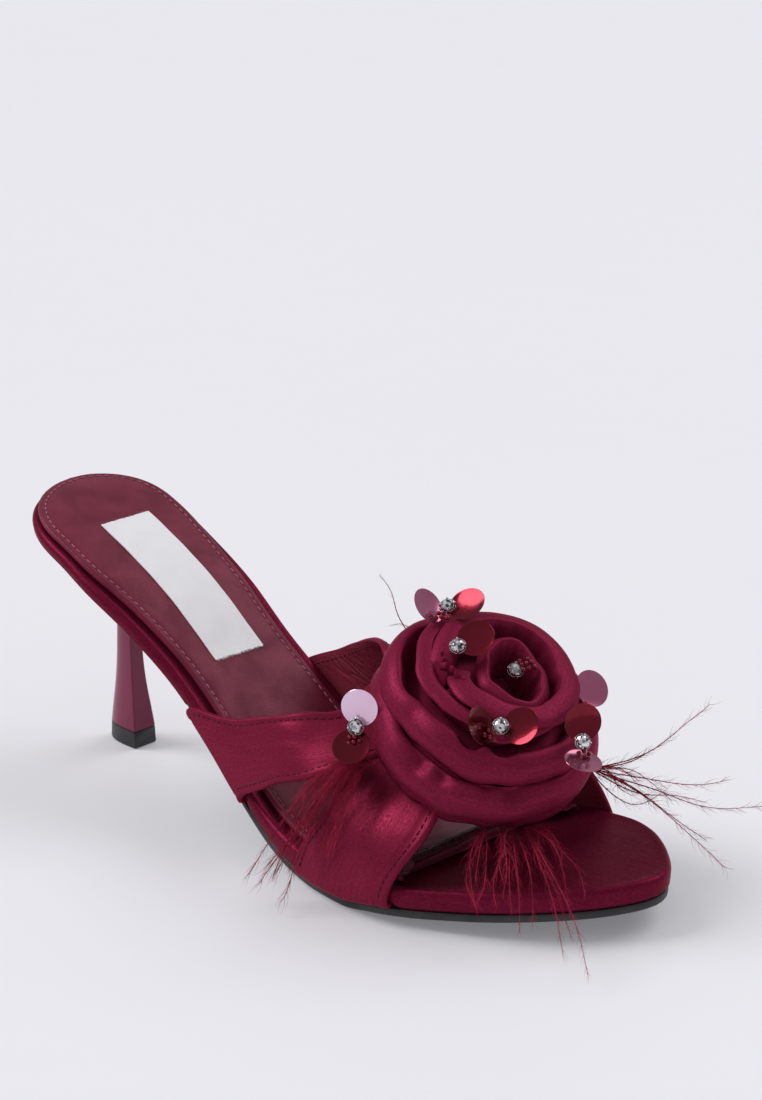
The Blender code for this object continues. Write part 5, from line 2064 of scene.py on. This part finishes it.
# Creases: run and share of width at both ends (mm, share), spread and height (mm)
REAR_CREASES = ((26, 0.25, 44, 0.50, 2.2, -0.22), (12, 0.55, 34, 0.78, 3.0, 0.25),
                (88, 0.2, 110, 0.6, 2.0, -0.45), (84, 0.5, 104, 0.8, 1.6, 0.35),
                (96, 0.15, 116, 0.35, 1.5, -0.35), (6, 0.35, 16, 0.45, 2.4, 0.25))
FRONT_CREASES = ((16, 0.40, 54, 0.46, 0.60, -0.70), (18, 0.34, 54, 0.40, 1.3, 0.42),
                 (24, 0.62, 52, 0.66, 3.0, 0.20), (8, 0.25, 24, 0.30, 3.0, -0.20),
                 (100, 0.3, 122, 0.6, 2.0, -0.4), (104, 0.6, 126, 0.75, 1.6, 0.35))


@dataclass
class Studio:
    """Pale floor, soft light and the camera at the photograph's angle."""

    focal: float = 4071.766
    frame_size: tuple[float, float] = (762.0, 1100.0)
    aim_pixel: tuple[float, float] = (326.84867, 712.05888)
    azimuth: float = 46.14585
    elevation: float = 23.12254
    distance: float = 1.18833861
    roll: float = 0.01066
    floor: Colour = (0.73, 0.73, 0.765, 1.0)
    glow: float = 0.22
    sky: Colour = (0.88, 0.88, 0.91, 1.0)
    sky_strength: float = 0.44
    far: float = 9.0

    def camera(self) -> None:
        """Make the camera that sees the shoe as the photograph does."""
        az, el = radians(self.azimuth), radians(self.elevation)
        back = Vector((sin(az) * cos(el), -cos(az) * cos(el), sin(el)))
        fwd = -back
        right = fwd.cross(UP).normalized()
        up = right.cross(fwd)
        du = (self.aim_pixel[0] - self.frame_size[0] / 2) / self.focal
        dv = (self.aim_pixel[1] - self.frame_size[1] / 2) / self.focal
        yaw = atan(du)
        for angle, axis in ((yaw, 1), (-atan(-dv * cos(yaw)), 0), (self.roll, 2)):
            turn = Matrix.Rotation(angle, 3, (right, up, fwd)[axis])
            fwd, right, up = turn @ fwd, turn @ right, turn @ up
        data = bpy.data.cameras.new("camera")
        data.sensor_width = 36.0
        data.lens = self.focal / self.frame_size[1] * 36.0
        cam = into_scene("camera", data)
        place_at = Matrix((right, up, -fwd)).transposed().to_4x4()
        place_at.translation = Vector((0.115, 0, 0.035)) + back * self.distance + SHIFT
        cam.matrix_world = place_at
        bpy.context.scene.camera = cam

    def light(self, name: str, toward: tuple[float, float, float], angle: float,
              strength: float) -> None:
        """Add a broad, soft and distant light.

        Args:
            name: The light's name.
            toward: Direction from the shoe to the light.
            angle: How wide the light is, in degrees.
            strength: Its strength.
        """
        data = bpy.data.lights.new(name, "SUN")
        data.angle, data.energy = radians(angle), strength
        lamp = into_scene(name, data)
        lamp.rotation_mode = "QUATERNION"
        lamp.rotation_quaternion = Vector(toward).to_track_quat("Z", "Y")

    def build(self) -> None:
        """Build the whole studio."""
        self.camera()
        shell = Shell()
        far = self.far
        shell.grid([[Vector((-far, -far, 0)), Vector((far, -far, 0))],
                    [Vector((-far, far, 0)), Vector((far, far, 0))]],
                   lambda r, c: (float(c), float(r)))
        grey = tuple(0.97 * c for c in self.floor[:3]) + (1.0,)
        floor = shell.finish("floor", Finish(
            "floor_paper", grey, self.floor, (0.5, 0.6), scale=40.0, depth=0.0,
            sockets=(("Emission Color", self.floor), ("Emission Strength", self.glow))))
        floor.data.transform(Matrix.Translation(Vector((0, 0, -0.2 * MM)) - SHIFT))
        if floor.data.polygons[0].normal.z < 0:
            floor.data.flip_normals()
        world = bpy.data.worlds.new("studio")
        world.use_nodes = True
        sky = world.node_tree.nodes["Background"]
        sky.inputs["Color"].default_value = self.sky
        sky.inputs["Strength"].default_value = self.sky_strength
        bpy.context.scene.world = world
        bpy.context.scene.view_settings.view_transform = "Standard"
        self.light("key", (-0.75, -0.55, 0.95), angle=30.0, strength=1.55)
        self.light("back", (0.15, 0.65, 0.75), angle=40.0, strength=0.80)


def main() -> None:
    """Build the shoe piece by piece, then the studio."""
    logging.basicConfig(level=logging.INFO, format="%(name)s %(message)s")
    Sole().build()
    Heel().build()
    Strap("strap_front", FRONT_EDGES, lift=0.0, seam=6.5 * MM, creases=FRONT_CREASES).build()
    Strap("strap_rear", REAR_EDGES, lift=0.9 * MM, seam=0.0, creases=REAR_CREASES).build()
    rose = Rose()
    rose.build()
    for cluster in CLUSTERS:
        cluster.build()
    for bunch in BUNCHES:
        bunch.build(rose)
    Studio().build()


if __name__ == "__main__":
    main()
